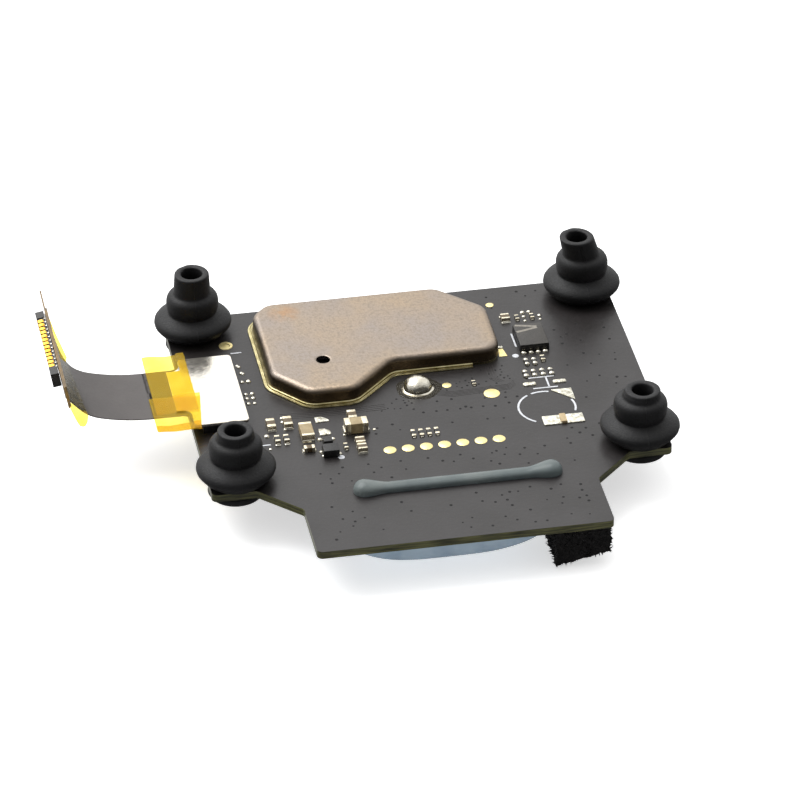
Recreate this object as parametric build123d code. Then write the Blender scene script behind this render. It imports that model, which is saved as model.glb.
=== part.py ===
from build123d import *
import os
from math import cos, radians, sin

# Flight controller board of a small camera drone, lying component side up.
# Origin: centre of the four-damper rectangle, on the top face of the circuit board.
# +X right, +Y towards the rear edge, +Z up, millimetres.

# ---- circuit board -------------------------------------------------------------
BOARD_WIDTH = 45.5  # wide rear part, X
BOARD_THICKNESS = 0.8
REAR_EDGE_Y = 15.9
SHOULDER_Y = -16.1  # front edge of the wide part
TAB_WIDTH = 28.9  # narrow front tongue
TAB_FRONT_Y = -27.4
TAB_CHAMFER = 3.9  # slanted step from shoulder to tongue
EDGE_CORNER_RADIUS = 0.6
PLATED_HOLE_AT = (-17.2, 10.1)
PLATED_HOLE_RADIUS = 0.4
PLATED_RING_RADIUS = 0.7

# ---- rubber dampers ------------------------------------------------------------
DAMPER_SPACING_X = 40.0
DAMPER_SPACING_Y = 27.0
SKIRT_RADIUS = 3.87  # large bulb that sits on the board
SKIRT_HEIGHT = 2.5
BULB_RADIUS = 2.6  # small bulb above it
BULB_HEIGHT = 2.2
WAIST_RADIUS = 2.45  # crease between skirt and bulb
NOSE_RADIUS = 1.78
NOSE_BORE_RADIUS = 1.05
NOSE_LENGTH_REAR = 2.05  # stands proud of the small bulb
NOSE_LENGTH_FRONT = 0.7  # the front pair is pushed in
NOSE_BORE_DEPTH = 3.6
NECK_RADIUS = 1.9
FOOT_RADIUS = 2.8
FOOT_THICKNESS = 0.85
FOOT_TIP_RADIUS = 2.24  # the foot tapers for its push through the hole
SKIRT_BASE_RADIUS = 2.79
RUBBER_GAP = 0.03  # neck in its hole, skirt and foot on the board

# ---- shield can ----------------------------------------------------------------
SHIELD_HEIGHT = 1.8
SHIELD_WALL = 0.15
SHIELD_EDGE_RADIUS = 0.4
SHIELD_LEFT_X = -14.1
SHIELD_RIGHT_X = 9.4
SHIELD_REAR_Y = 14.5
SHIELD_FRONT_Y = -2.4
FRONT_CUT = (3.3, 3.9)  # slanted corners of the cover
REAR_RIGHT_CUT = 4.4
REAR_LEFT_CUT = 1.7
SHIELD_CORNER_RADIUS = 1.1
SHIELD_NOTCH_Y = 2.0  # front wall of the narrow right half
SHIELD_NOTCH_X = -1.8  # where the notch chamfer ends
FRAME_LIP = 0.5  # soldered frame, proud of the cover all round
FRAME_HEIGHT = 0.3
FRAME_LIP_END_X = 6.4  # the lip stops here on the notched side
VENT_RADIUS = 0.7
VENT_AT = (-8.5, 3.1)

# ---- gold, solder and driver chip ----------------------------------------------
PAD_PITCH = 1.81
PAD_COUNT = 7
PAD_RADIUS = 0.62
PAD_ROW_START = (-4.47, -11.46)
PLATING = 0.05
BLOB_RADIUS = 1.3
BLOB_AT = (0.25, -1.05)
DOT_RADIUS = 0.22
DOT_HEIGHT = 0.12
DRIVER_AT = (13.1, 5.5)
DRIVER_SIZE = (3.0, 4.0)
DRIVER_HEIGHT = 0.75
DRIVER_LEAD = (0.4, 0.4, 0.15)
DRIVER_PITCH = 0.75

# ---- silicone pad, foam and underside ------------------------------------------
SUPPORT_DEPTH = 5.0  # board top face down to the surface that the part lies on
PAD_CENTRE_X = -1.2
PAD_LENGTH = 19.4
PAD_DEPTH = 3.1  # below the board
PAD_FRONT_INSET = 1.0
PAD_WIDTH = 8.6
RIB_Y = -18.1
RIB_LEFT_X = -7.9
RIB_RIGHT_X = 10.2
RIB_WIDTH = 1.5
RIB_END_RADIUS = 1.15
RIB_HEIGHT = 0.7
SLOT_LENGTH = 14.0
SLOT_WIDTH = 1.2
PAD_GAP = 0.03
FOAM_LENGTH = 5.6
FOAM_WIDTH = 5.0
FOAM_RIGHT_INSET = 0.2
BAROMETER_SIZE = (2.5, 2.5, 0.9)

# ---- flexible lead -------------------------------------------------------------
FLEX_WIDTH = 8.2
FLEX_THICKNESS = 0.12
FLEX_CENTRE_Y = 0.82
FLEX_BASE_Z = 1.0  # underside of the flex where it lies on its plug
TAIL_SIZE = (5.35, 12.0)  # wide end of the flex, over its plug
TAIL_RIGHT_X = -17.35
TAIL_CENTRE_Y = 0.45
TAIL_FILLET = 1.0  # where the flex widens
PLATE_THICKNESS = 0.18
PLATE_TONGUE = (1.4, 7.1)  # the plate's narrow part, along the flex
TAPE_EDGE_X = -26.5  # the free stretch starts here
RISE_RADIUS = 19.0
RISE_ANGLE = 24.1
FOLD_RADIUS = 1.2
HEAD_LEAN = 9.7  # how far the upright head leans outwards
HEAD_TILT = 14.7  # its turn in its own plane
HEAD_BASE = 1.7  # fold line to the head's reference point, measured up the flex
HEAD_SIZE = (12.8, 3.0)
HEAD_CENTRE = (2.1, 4.3)  # along and above the head's reference point
STIFFENER_THICKNESS = 0.2
HEAD_TAPE_SIZE = (9.6, 1.8)
TAPE_THICKNESS = 0.06
TAPE_REAR_RIGHT_X = -21.9
TAPE_REAR_Y = (-2.9, 7.5)
TAPE_FRONT_RIGHT_X = -21.4
TAPE_FRONT_Y = (-5.95, -0.1)  # laps over the rear strip

# ---- board connectors ----------------------------------------------------------
PLUG_SIZE = (2.6, 10.4)
SOCKET_SIZE = (3.6, 11.2)
BLADE_SIZE = (0.3, 0.12, 2.2)
HEAD_PLUG_LENGTH = 8.4
HEAD_PLUG_CENTRE = (2.7, 3.88)
HEAD_PLUG_WIDTH = 1.9
HEAD_PLUG_DEPTH = 0.85
CONTACT_PITCH = 0.5
FIRST_CONTACT = 1.13  # from the rear end of the plug
HEAD_CONTACTS = 13
LEAD_CONTACTS = 18

BOARD_BOTTOM_Z = -BOARD_THICKNESS
FLOOR_Z = -SUPPORT_DEPTH

os.makedirs("parts", exist_ok=True)


def save(name, *solids):
    """Write one named piece, or a group of like pieces, as one STEP file."""
    shape = solids[0] if len(solids) == 1 else Compound(children=list(solids))
    shape.label = name
    export_step(shape, f"parts/{name}.step")


def block(x, y, z, size_x, size_y, size_z):
    """Box centred on x and y, standing on z."""
    return Pos(x, y, z + size_z / 2) * Box(size_x, size_y, size_z)


def disc(x, y, z, radius, height):
    """Cylinder standing on z."""
    return Pos(x, y, z + height / 2) * Cylinder(radius, height)


def solid(shape):
    """The single solid of a finished shape."""
    return shape.solids()[0]


def prism(points, z, height, radius=0.0):
    """Polygon raised from z, with its upright edges rounded."""
    body = Pos(0, 0, z) * extrude(make_face(Polyline(*points, close=True)), height)
    return fillet(body.edges().filter_by(Axis.Z), radius) if radius else body


# ---- circuit board -------------------------------------------------------------


def damper_places():
    """Names and positions of the four dampers, with the length of each nose."""
    x, y = DAMPER_SPACING_X / 2, DAMPER_SPACING_Y / 2
    return [
        ("damper_rear_left", -x, y, NOSE_LENGTH_REAR),
        ("damper_rear_right", x, y, NOSE_LENGTH_REAR),
        ("damper_front_left", -x, -y, NOSE_LENGTH_FRONT),
        ("damper_front_right", x, -y, NOSE_LENGTH_FRONT),
    ]


def board_outline():
    half, tab = BOARD_WIDTH / 2, TAB_WIDTH / 2
    right = [
        (half, REAR_EDGE_Y),
        (half, SHOULDER_Y),
        (tab + TAB_CHAMFER, SHOULDER_Y),
        (tab, SHOULDER_Y - TAB_CHAMFER),
        (tab, TAB_FRONT_Y),
    ]
    return right + [(-x, y) for x, y in reversed(right)]


def circuit_board():
    board = prism(board_outline(), BOARD_BOTTOM_Z, BOARD_THICKNESS, EDGE_CORNER_RADIUS)
    for _, x, y, _ in damper_places():
        board -= disc(x, y, BOARD_BOTTOM_Z, NECK_RADIUS + RUBBER_GAP, BOARD_THICKNESS)
    slot = Pos(PAD_CENTRE_X, RIB_Y) * SlotOverall(SLOT_LENGTH, SLOT_WIDTH)
    board -= Pos(0, 0, BOARD_BOTTOM_Z) * extrude(slot, BOARD_THICKNESS)
    board -= disc(*PLATED_HOLE_AT, BOARD_BOTTOM_Z, PLATED_HOLE_RADIUS, BOARD_THICKNESS)
    save("circuit_board", solid(board))


# ---- rubber dampers ------------------------------------------------------------


def damper(nose_length):
    """One hollow rubber moulding, standing with the board's top face at z = 0."""
    skirt_z = RUBBER_GAP
    skirt_mid = skirt_z + SKIRT_HEIGHT * 0.45
    bulb_z = skirt_z + SKIRT_HEIGHT
    bulb_mid = bulb_z + BULB_HEIGHT * 0.5
    nose_z = bulb_z + BULB_HEIGHT
    top_z = nose_z + nose_length
    foot_z = BOARD_BOTTOM_Z - RUBBER_GAP
    outline = [
        Line((0, foot_z - FOOT_THICKNESS), (FOOT_TIP_RADIUS, foot_z - FOOT_THICKNESS)),
        Line((FOOT_TIP_RADIUS, foot_z - FOOT_THICKNESS), (FOOT_RADIUS, foot_z - FOOT_THICKNESS / 2)),
        Line((FOOT_RADIUS, foot_z - FOOT_THICKNESS / 2), (FOOT_RADIUS, foot_z)),
        Line((FOOT_RADIUS, foot_z), (NECK_RADIUS, foot_z)),
        Line((NECK_RADIUS, foot_z), (NECK_RADIUS, skirt_z)),
        Line((NECK_RADIUS, skirt_z), (SKIRT_BASE_RADIUS, skirt_z)),
        ThreePointArc((SKIRT_BASE_RADIUS, skirt_z), (SKIRT_RADIUS, skirt_mid), (WAIST_RADIUS, bulb_z)),
        ThreePointArc((WAIST_RADIUS, bulb_z), (BULB_RADIUS, bulb_mid), (NOSE_RADIUS, nose_z)),
        Line((NOSE_RADIUS, nose_z), (NOSE_RADIUS, top_z)),
        Line((NOSE_RADIUS, top_z), (0, top_z)),
        Line((0, top_z), (0, foot_z - FOOT_THICKNESS)),
    ]
    section = make_face([Plane.XZ * edge for edge in outline])
    body = revolve(section, Axis.Z)
    body -= disc(0, 0, top_z - NOSE_BORE_DEPTH, NOSE_BORE_RADIUS, NOSE_BORE_DEPTH)
    return solid(body)


def dampers():
    for name, x, y, nose_length in damper_places():
        save(name, Pos(x, y, 0) * damper(nose_length))


# ---- shield can ----------------------------------------------------------------


def shield_outline(grow=0.0):
    """Outside of the cover's walls, pushed out by grow."""
    points = [
        (SHIELD_LEFT_X, SHIELD_FRONT_Y + FRONT_CUT[1]),
        (SHIELD_LEFT_X + FRONT_CUT[0], SHIELD_FRONT_Y),
        (SHIELD_NOTCH_X - (SHIELD_NOTCH_Y - SHIELD_FRONT_Y), SHIELD_FRONT_Y),
        (SHIELD_NOTCH_X, SHIELD_NOTCH_Y),
        (SHIELD_RIGHT_X, SHIELD_NOTCH_Y),
        (SHIELD_RIGHT_X, SHIELD_REAR_Y - REAR_RIGHT_CUT),
        (SHIELD_RIGHT_X - REAR_RIGHT_CUT, SHIELD_REAR_Y),
        (SHIELD_LEFT_X + REAR_LEFT_CUT, SHIELD_REAR_Y),
        (SHIELD_LEFT_X, SHIELD_REAR_Y - REAR_LEFT_CUT),
    ]
    face = make_face(Polyline(*points, close=True))
    return offset(face, grow, kind=Kind.INTERSECTION) if grow else face


def shield_prism(grow, z, height):
    body = Pos(0, 0, z) * extrude(shield_outline(grow), height)
    return fillet(body.edges().filter_by(Axis.Z), SHIELD_CORNER_RADIUS + max(grow, 0))


def shield():
    """Frame soldered to the board, and the drawn cover pressed over it."""
    frame = shield_prism(FRAME_LIP, 0, FRAME_HEIGHT)
    frame -= shield_prism(-SHIELD_WALL - 0.5, 0, FRAME_HEIGHT)
    lip_end = SHIELD_RIGHT_X + FRAME_LIP - FRAME_LIP_END_X
    lip_x, lip_y = FRAME_LIP_END_X + lip_end / 2, SHIELD_NOTCH_Y - FRAME_LIP / 2
    frame -= block(lip_x, lip_y, 0, lip_end, FRAME_LIP, FRAME_HEIGHT)
    save("shield_frame", solid(frame))
    cover = shield_prism(0, FRAME_HEIGHT, SHIELD_HEIGHT - FRAME_HEIGHT)
    cover = fillet(cover.faces().sort_by(Axis.Z)[-1].edges(), SHIELD_EDGE_RADIUS)
    cover -= shield_prism(-SHIELD_WALL, FRAME_HEIGHT, SHIELD_HEIGHT - FRAME_HEIGHT - SHIELD_WALL)
    cover -= disc(*VENT_AT, SHIELD_HEIGHT - SHIELD_WALL, VENT_RADIUS, SHIELD_WALL)
    save("shield_cover", solid(cover))


def shielded_parts():
    """What the cover hides: the processor with its thermal pad, memory and small parts."""
    processor_height, memory_height = 0.95, 0.9
    save("processor_chip", block(-6.6, 8.4, 0, 11.0, 9.6, processor_height))
    pad_height = SHIELD_HEIGHT - SHIELD_WALL - processor_height
    save("thermal_pad", block(-6.6, 8.4, processor_height, 9.0, 8.0, pad_height))
    save("memory_chip", block(4.0, 7.2, 0, 7.6, 7.6, memory_height))
    save("clock_crystal", block(-5.8, 1.4, 0, 2.0, 1.6, 0.6))
    save("power_coils", *[block(x, 0.6, 0, 2.0, 1.6, 1.0) for x in (-11.0, -8.4)])


# ---- solder and gold on the top face -------------------------------------------

def gold_pads():
    x0, y0 = PAD_ROW_START
    pads = [disc(x0 + i * PAD_PITCH, y0, 0, PAD_RADIUS, PLATING) for i in range(PAD_COUNT)]
    pads += [disc(x, y, 0, r, PLATING) for x, y, r in [(3.2, -1.15, 0.45), (7.3, -3.4, 0.8)]]
    pads.append(disc(SHIELD_RIGHT_X + 0.95, 12.7, 0, 0.4, PLATING))
    save("test_pads", *pads)
    ring = disc(*PLATED_HOLE_AT, 0, PLATED_RING_RADIUS, PLATING)
    ring -= disc(*PLATED_HOLE_AT, 0, PLATED_HOLE_RADIUS, PLATING)
    save("plated_ring", solid(ring))


def solder_blob():
    sphere = Pos(*BLOB_AT, 0) * Sphere(BLOB_RADIUS)
    cap = sphere & block(*BLOB_AT, 0, 2 * BLOB_RADIUS, 2 * BLOB_RADIUS, BLOB_RADIUS)
    save("solder_blob", solid(cap))


def solder_lands():
    """Bare tinned lands, and the small solder dots beside the chips."""
    dots = [(-16.6, y, 0.32) for y in (6.2, 4.8)]
    dots += [(x, y, DOT_RADIUS) for y in (3.17, 0.9, 0.1, -0.82) for x in (-16.68, -16.06)]
    dots += [(13.3, y, DOT_RADIUS) for y in (11.1, 10.2, 9.4)]
    dots += [(14.05, 11.1, DOT_RADIUS), (14.9, 10.2, DOT_RADIUS), (14.9, 9.4, DOT_RADIUS)]
    lands = [disc(x, y, 0, r, DOT_HEIGHT) for x, y, r in dots]
    lands += [block(-10.15, y, 0, 1.2, 1.1, DOT_HEIGHT) for y in (-5.0, -7.2)]
    lands += [block(x, -2.5, 0, 1.25, 0.6, DOT_HEIGHT) for x in (11.3, 14.35)]
    lands += [block(x, -9.3, 0, 1.75, 1.5, DOT_HEIGHT) for x in (12.1, 14.35)]
    lands.append(prism([(13.1, -3.9), (15.1, -3.9), (15.1, -5.9)], 0, DOT_HEIGHT))
    lands.append(prism([(9.95, 4.4), (10.2, 4.4), (10.2, 3.0), (9.95, 3.0)], 0, DOT_HEIGHT))
    save("solder_lands", *lands)


# ---- chip parts on the top face ------------------------------------------------


def chip_part(x, y, length, width, height, along_y=True, end_share=0.24):
    """Body and two metal end caps of one surface-mounted capacitor or resistor."""
    cap = length * end_share
    body_size = (width, length - 2 * cap) if along_y else (length - 2 * cap, width)
    end_size = (width, cap) if along_y else (cap, width)
    shift = (length - cap) / 2
    ends = []
    for sign in (-1, 1):
        dx, dy = (0, sign * shift) if along_y else (sign * shift, 0)
        ends.append(block(x + dx, y + dy, 0, *end_size, height))
    return block(x, y, 0, *body_size, height), ends


def chip_group(name, parts):
    made = [chip_part(*part) for part in parts]
    save(name + "_bodies", *[body for body, _ in made])
    save(name + "_ends", *[end for _, ends in made for end in ends])


def chip_parts():
    chip_group(
        "large_capacitor",
        [(-12.0, -7.3, 2.4, 1.25, 0.75, True, 0.15), (-7.1, -7.4, 2.3, 1.25, 1.15, False)],
    )
    medium = [(-15.2, -5.2, 1.5, 0.85, 0.5), (-13.5, -5.1, 1.5, 0.85, 0.5)]
    medium += [(-7.1, -5.1, 1.4, 0.85, 0.5), (-7.1, -9.7, 1.0, 0.9, 0.5), (-7.1, -10.9, 1.0, 0.9, 0.5)]
    medium += [(11.3, 9.6, 1.2, 0.85, 0.45), (-12.2, -10.1, 1.1, 0.6, 0.5, False)]
    chip_group("small_capacitor", medium)
    tiny = [(x, -7.9, 1.1, 0.5, 0.4) for x in (-15.0, -14.1)] + [(-8.6, -10.2, 0.9, 0.4, 0.3)]
    tiny += [(x, 9.8, 0.8, 0.4, 0.25) for x in (12.6, 14.2)] + [(13.6, 1.8, 0.8, 0.4, 0.25)]
    tiny += [(x, 1.6, 0.9, 0.42, 0.2) for x in (11.9, 12.65)] + [(5.9, -1.3, 0.7, 0.4, 0.2)]
    tiny += [(11.4 + 0.82 * i, -0.4, 1.2, 0.45, 0.2) for i in range(4)]
    tiny += [(-1.7 + 0.78 * i, -9.1, 1.15, 0.42, 0.2) for i in range(4)]
    chip_group("chip_resistor", tiny)
    save("bridge_link", block(13.23, -9.3, 0, 0.48, 1.4, 0.3))
    save("driver_chip", block(*DRIVER_AT, 0, *DRIVER_SIZE, DRIVER_HEIGHT))
    save("sensor_chip", block(-10.25, -11.0, 0, 1.55, 1.4, 0.8))
    save("diode", block(-10.2, -9.1, 0, 1.0, 0.8, 0.45))
    driver_leads = []
    for side in (-1, 1):
        y = DRIVER_AT[1] + side * (DRIVER_SIZE[1] / 2 + DRIVER_LEAD[1] / 2)
        for i in range(4):
            x = DRIVER_AT[0] + (i - 1.5) * DRIVER_PITCH
            driver_leads.append(block(x, y, 0, *DRIVER_LEAD))
    save("driver_chip_leads", *driver_leads)


# ---- silicone pad and foam -----------------------------------------------------


def silicone_pad():
    """Rib on the top face, web through the slot and cushion below, in one moulding."""
    front = TAB_FRONT_Y + PAD_FRONT_INSET
    under = BOARD_BOTTOM_Z - PAD_GAP
    half = PAD_LENGTH / 2
    profile = [Line((-half, 0), (half, 0)), ThreePointArc((-half, 0), (0, -PAD_DEPTH), (half, 0))]
    cushion = extrude(make_face([Plane.XZ * edge for edge in profile]), PAD_WIDTH, dir=(0, 1, 0))
    pad = Pos(PAD_CENTRE_X, front, under) * cushion
    web = Pos(PAD_CENTRE_X, RIB_Y) * SlotOverall(SLOT_LENGTH - 2 * PAD_GAP, SLOT_WIDTH - 2 * PAD_GAP)
    pad += Pos(0, 0, under) * extrude(web, PAD_GAP - under)
    rib_length = RIB_RIGHT_X - RIB_LEFT_X
    rib_x = (RIB_LEFT_X + RIB_RIGHT_X) / 2
    rib = block(rib_x, RIB_Y, PAD_GAP, rib_length, RIB_WIDTH, RIB_HEIGHT)
    for x in (RIB_LEFT_X, RIB_RIGHT_X):
        rib += disc(x, RIB_Y, PAD_GAP, RIB_END_RADIUS, RIB_HEIGHT)
    rib = fillet(rib.faces().sort_by(Axis.Z)[-1].edges(), RIB_HEIGHT * 0.6)
    save("silicone_pad", solid(pad + rib))


def foam():
    """Open-cell foam block that shields the barometer from draughts."""
    x = TAB_WIDTH / 2 - FOAM_RIGHT_INSET - FOAM_LENGTH / 2
    y = TAB_FRONT_Y + FOAM_WIDTH / 2
    height = BOARD_BOTTOM_Z - FLOOR_Z
    body = block(x, y, FLOOR_Z, FOAM_LENGTH, FOAM_WIDTH, height)
    chip_x, chip_y, chip_z = BAROMETER_SIZE
    chip = block(x, y, BOARD_BOTTOM_Z - chip_z, chip_x, chip_y, chip_z)
    save("barometer_chip", chip)
    save("foam_block", solid(body - chip))


# ---- flexible lead on the board ------------------------------------------------


def tail_centre_x():
    return TAIL_RIGHT_X - TAIL_SIZE[0] / 2


def tail_left_x():
    return TAIL_RIGHT_X - TAIL_SIZE[0]


def plate_left_x():
    return tail_left_x() - PLATE_TONGUE[0]


def tail_sheet(left, narrow, centre_y, z, thickness):
    """Wide end that narrows through two hollow fillets to a band ending at left."""
    length, width = TAIL_SIZE
    wide = Pos(tail_centre_x(), TAIL_CENTRE_Y) * RectangleRounded(length, width, 0.4)
    band = Pos((left + tail_centre_x()) / 2, centre_y) * Rectangle(tail_centre_x() - left, narrow)
    outline = wide + band
    hollow = outline.vertices().filter_by(
        lambda v: abs(v.X - tail_left_x()) < 0.01 and abs(v.Y - centre_y) < narrow / 2 + 0.01
    )
    return Pos(0, 0, z) * extrude(fillet(hollow, TAIL_FILLET), thickness)


def contact_row(x, y, z, count, size):
    """Contacts at the common pitch along Y."""
    first = y - (count - 1) * CONTACT_PITCH / 2
    return [block(x, first + i * CONTACT_PITCH, z, *size) for i in range(count)]


def board_connector():
    """Receptacle on the board, and the flex's plug pressed into it."""
    x, y = tail_centre_x(), TAIL_CENTRE_Y
    wall_height, base = 0.75, 0.25
    socket = block(x, y, 0, *SOCKET_SIZE, wall_height)
    socket -= block(x, y, base, *PLUG_SIZE, wall_height)
    save("flex_socket", solid(socket))
    save("flex_plug", block(x, y, base, *PLUG_SIZE, FLEX_BASE_Z - base))
    leads = []
    for side in (-1, 1):
        lead_x = x + side * (SOCKET_SIZE[0] / 2 + 0.2)
        leads += contact_row(lead_x, y, 0, LEAD_CONTACTS, (0.4, 0.22, 0.12))
    save("flex_socket_leads", *leads)


def tape_strip(right, front, rear, lift):
    """Tape pressed down over the plate, its step and the flex."""
    step, width, centre = plate_left_x() - lift, rear - front, (front + rear) / 2
    low = FLEX_BASE_Z + FLEX_THICKNESS + lift
    high = low + PLATE_THICKNESS
    upper = block((right + step) / 2, centre, high, right - step, width, TAPE_THICKNESS)
    lower = block((step + TAPE_EDGE_X) / 2, centre, low, step - TAPE_EDGE_X, width, TAPE_THICKNESS)
    riser_height = PLATE_THICKNESS + TAPE_THICKNESS
    riser = block(step - TAPE_THICKNESS / 2, centre, low, TAPE_THICKNESS, width, riser_height)
    return solid(upper + lower + riser)


def lead_tail():
    """The end of the flex that is fixed: plate, flared flex and two strips of tape."""
    tail = tail_sheet(TAPE_EDGE_X, FLEX_WIDTH, FLEX_CENTRE_Y, FLEX_BASE_Z, FLEX_THICKNESS)
    save("flex_tail", solid(tail))
    plate_z = FLEX_BASE_Z + FLEX_THICKNESS
    plate = tail_sheet(plate_left_x(), PLATE_TONGUE[1], FLEX_CENTRE_Y, plate_z, PLATE_THICKNESS)
    save("flex_plate", solid(plate))
    save("tape_rear", tape_strip(TAPE_REAR_RIGHT_X, *TAPE_REAR_Y, 0))
    save("tape_front", tape_strip(TAPE_FRONT_RIGHT_X, *TAPE_FRONT_Y, TAPE_THICKNESS))


# ---- free stretch and upright head of the lead ----------------------------------


def lead_path():
    """Middle line of the flex: a long gentle rise, then a tight fold upwards."""
    z = FLEX_BASE_Z + FLEX_THICKNESS / 2
    rise_centre = (TAPE_EDGE_X, z + RISE_RADIUS)
    fold_x = TAPE_EDGE_X - (RISE_RADIUS - FOLD_RADIUS) * sin(radians(RISE_ANGLE))
    fold_z = rise_centre[1] - (RISE_RADIUS - FOLD_RADIUS) * cos(radians(RISE_ANGLE))
    return rise_centre, (fold_x, fold_z)


def swept_band(centre, radius, start, end):
    """Part of a flat ring in the XZ plane, as wide as the flex along Y."""
    def at(r, angle):
        return (centre[0] - r * sin(radians(angle)), centre[1] - r * cos(radians(angle)))

    inner, outer, middle = radius - FLEX_THICKNESS / 2, radius + FLEX_THICKNESS / 2, (start + end) / 2
    band = [
        ThreePointArc(at(inner, start), at(inner, middle), at(inner, end)),
        Line(at(inner, end), at(outer, end)),
        ThreePointArc(at(outer, end), at(outer, middle), at(outer, start)),
        Line(at(outer, start), at(inner, start)),
    ]
    face = make_face([Plane.XZ * edge for edge in band])
    return Pos(0, FLEX_CENTRE_Y + FLEX_WIDTH / 2, 0) * extrude(face, FLEX_WIDTH)


def fold_end():
    """Where the fold ends and the upright flex begins, in X and Z."""
    _, (x, z) = lead_path()
    turn = radians(90 + HEAD_LEAN)
    return x - FOLD_RADIUS * sin(turn), z - FOLD_RADIUS * cos(turn)


def head_plane():
    """Plane of the upright flex: local X along the board's Y, local Y up the head."""
    x, z = fold_end()
    lean = radians(HEAD_LEAN)
    return Plane(
        origin=(x, FLEX_CENTRE_Y, z), x_dir=(0, 1, 0), z_dir=(cos(lean), 0, sin(lean))
    )


def head_local():
    """Turned rectangle of the head, in the head plane."""
    turn = Pos(0, -HEAD_BASE) * Rot(0, 0, HEAD_TILT)
    return turn * Pos(HEAD_CENTRE[0], HEAD_CENTRE[1])


def head_block(along, up, out, size_along, size_up, size_out):
    """Box on the head: centred along and up, raised from out on the side of the board."""
    place = Pos(0, -HEAD_BASE) * Rot(0, 0, HEAD_TILT) * Pos(along, up, out + size_out / 2)
    return head_plane() * place * Box(size_along, size_up, size_out)


def lead_strip():
    rise_centre, fold_centre = lead_path()
    strip = swept_band(rise_centre, RISE_RADIUS, 0, RISE_ANGLE)
    strip += swept_band(fold_centre, FOLD_RADIUS, RISE_ANGLE, 90 + HEAD_LEAN)
    save("flex_strip", solid(strip))


def lead_head():
    """Upright end: flex, stiffener, tape and the plug with its contacts."""
    half = FLEX_THICKNESS / 2
    sheet = Pos(0, 1.9) * Rectangle(FLEX_WIDTH, 3.8) + head_local() * Rectangle(*HEAD_SIZE)
    save("flex_head", solid(head_plane() * Pos(0, 0, -half) * extrude(sheet, FLEX_THICKNESS)))
    save("head_stiffener", head_block(*HEAD_CENTRE, half, *HEAD_SIZE, STIFFENER_THICKNESS))
    tape_out = half + STIFFENER_THICKNESS
    tape = head_block(HEAD_CENTRE[0], HEAD_CENTRE[1] - 0.3, tape_out, *HEAD_TAPE_SIZE, TAPE_THICKNESS)
    save("head_tape", tape)

    along, up = HEAD_PLUG_CENTRE
    depth, width = HEAD_PLUG_DEPTH, HEAD_PLUG_WIDTH
    housing = head_block(along, up, -half - depth, HEAD_PLUG_LENGTH, width, depth)
    groove_width, wall = 0.7, 0.25
    groove_length = HEAD_PLUG_LENGTH - 4 * wall
    housing -= head_block(along, up, -half - depth, groove_length, groove_width, depth - wall)
    contacts, tails = [], []
    first = along + HEAD_PLUG_LENGTH / 2 - FIRST_CONTACT
    for i in range(HEAD_CONTACTS):
        at = first - i * CONTACT_PITCH
        cut = head_block(at, up + width / 2 - 0.06, -half - depth, 0.28, 0.12, 0.6)
        housing -= cut
        contacts.append(cut)
        tails.append(head_block(at, up + width / 2 + 0.15, -half - 0.12, 0.22, 0.3, 0.12))
    save("head_plug", solid(housing))
    save("head_contacts", *contacts)
    save("head_solder_tails", *tails)


# ---- underside -----------------------------------------------------------------


def socket(name, x, y, length, width, pins):
    """Upright socket under the board that plugs into the drone's lower board."""
    height = BOARD_BOTTOM_Z - FLOOR_Z
    wall, floor = 0.5, 0.8
    housing = block(x, y, FLOOR_Z, length, width, height)
    housing -= block(x, y, FLOOR_Z, length - 2 * wall, width - 2 * wall, height - floor)
    tongue = block(x, y, FLOOR_Z + wall, length - 4 * wall, width * 0.3, height - floor - wall)
    save(name + "_socket", solid(housing + tongue))
    pitch = (length - 6 * wall) / (pins - 1)
    first = x - pitch * (pins - 1) / 2
    blades = []
    for side in (-1, 1):
        blade_y = y + side * (width * 0.15 + 0.06)
        for i in range(pins):
            blades.append(block(first + i * pitch, blade_y, FLOOR_Z + 2 * wall, *BLADE_SIZE))
    save(name + "_socket_contacts", *blades)


def underside_parts():
    socket("signal", 0, 10.6, 22.0, 4.6, 20)
    socket("power", -11.6, -8.0, 8.4, 5.0, 5)
    x, y, length, width, height, wall = 3.0, -1.5, 17.0, 12.0, 1.5, 0.15
    frame_height = 0.3
    base = BOARD_BOTTOM_Z - frame_height
    ring = block(x, y, base, length + 0.6, width + 0.6, frame_height)
    ring -= block(x, y, base, length - 1.2, width - 1.2, frame_height)
    save("lower_shield_frame", solid(ring))
    can = block(x, y, BOARD_BOTTOM_Z - height, length, width, height - frame_height)
    can = fillet(can.edges().filter_by(Axis.Z), 0.8)
    inner = height - frame_height - wall
    can -= block(x, y, base - inner, length - 2 * wall, width - 2 * wall, inner)
    save("lower_shield_cover", solid(can))
    save("motor_driver_chip", block(x - 3.5, y, BOARD_BOTTOM_Z - 0.9, 7.0, 7.0, 0.9))
    save("radio_chip", block(x + 4.5, y, BOARD_BOTTOM_Z - 0.9, 5.0, 5.0, 0.9))
    save("motion_sensor_chip", block(-13.0, 1.5, BOARD_BOTTOM_Z - 0.9, 3.0, 3.0, 0.9))
    save("regulator_coil", block(-17.2, 4.5, BOARD_BOTTOM_Z - 1.6, 3.0, 3.0, 1.6))


circuit_board()
dampers()
shield()
shielded_parts()
gold_pads()
solder_blob()
solder_lands()
chip_parts()
silicone_pad()
foam()
board_connector()
lead_tail()
lead_strip()
lead_head()
underside_parts()
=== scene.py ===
import math

import bmesh
import bpy
from mathutils import Matrix, Vector


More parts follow.
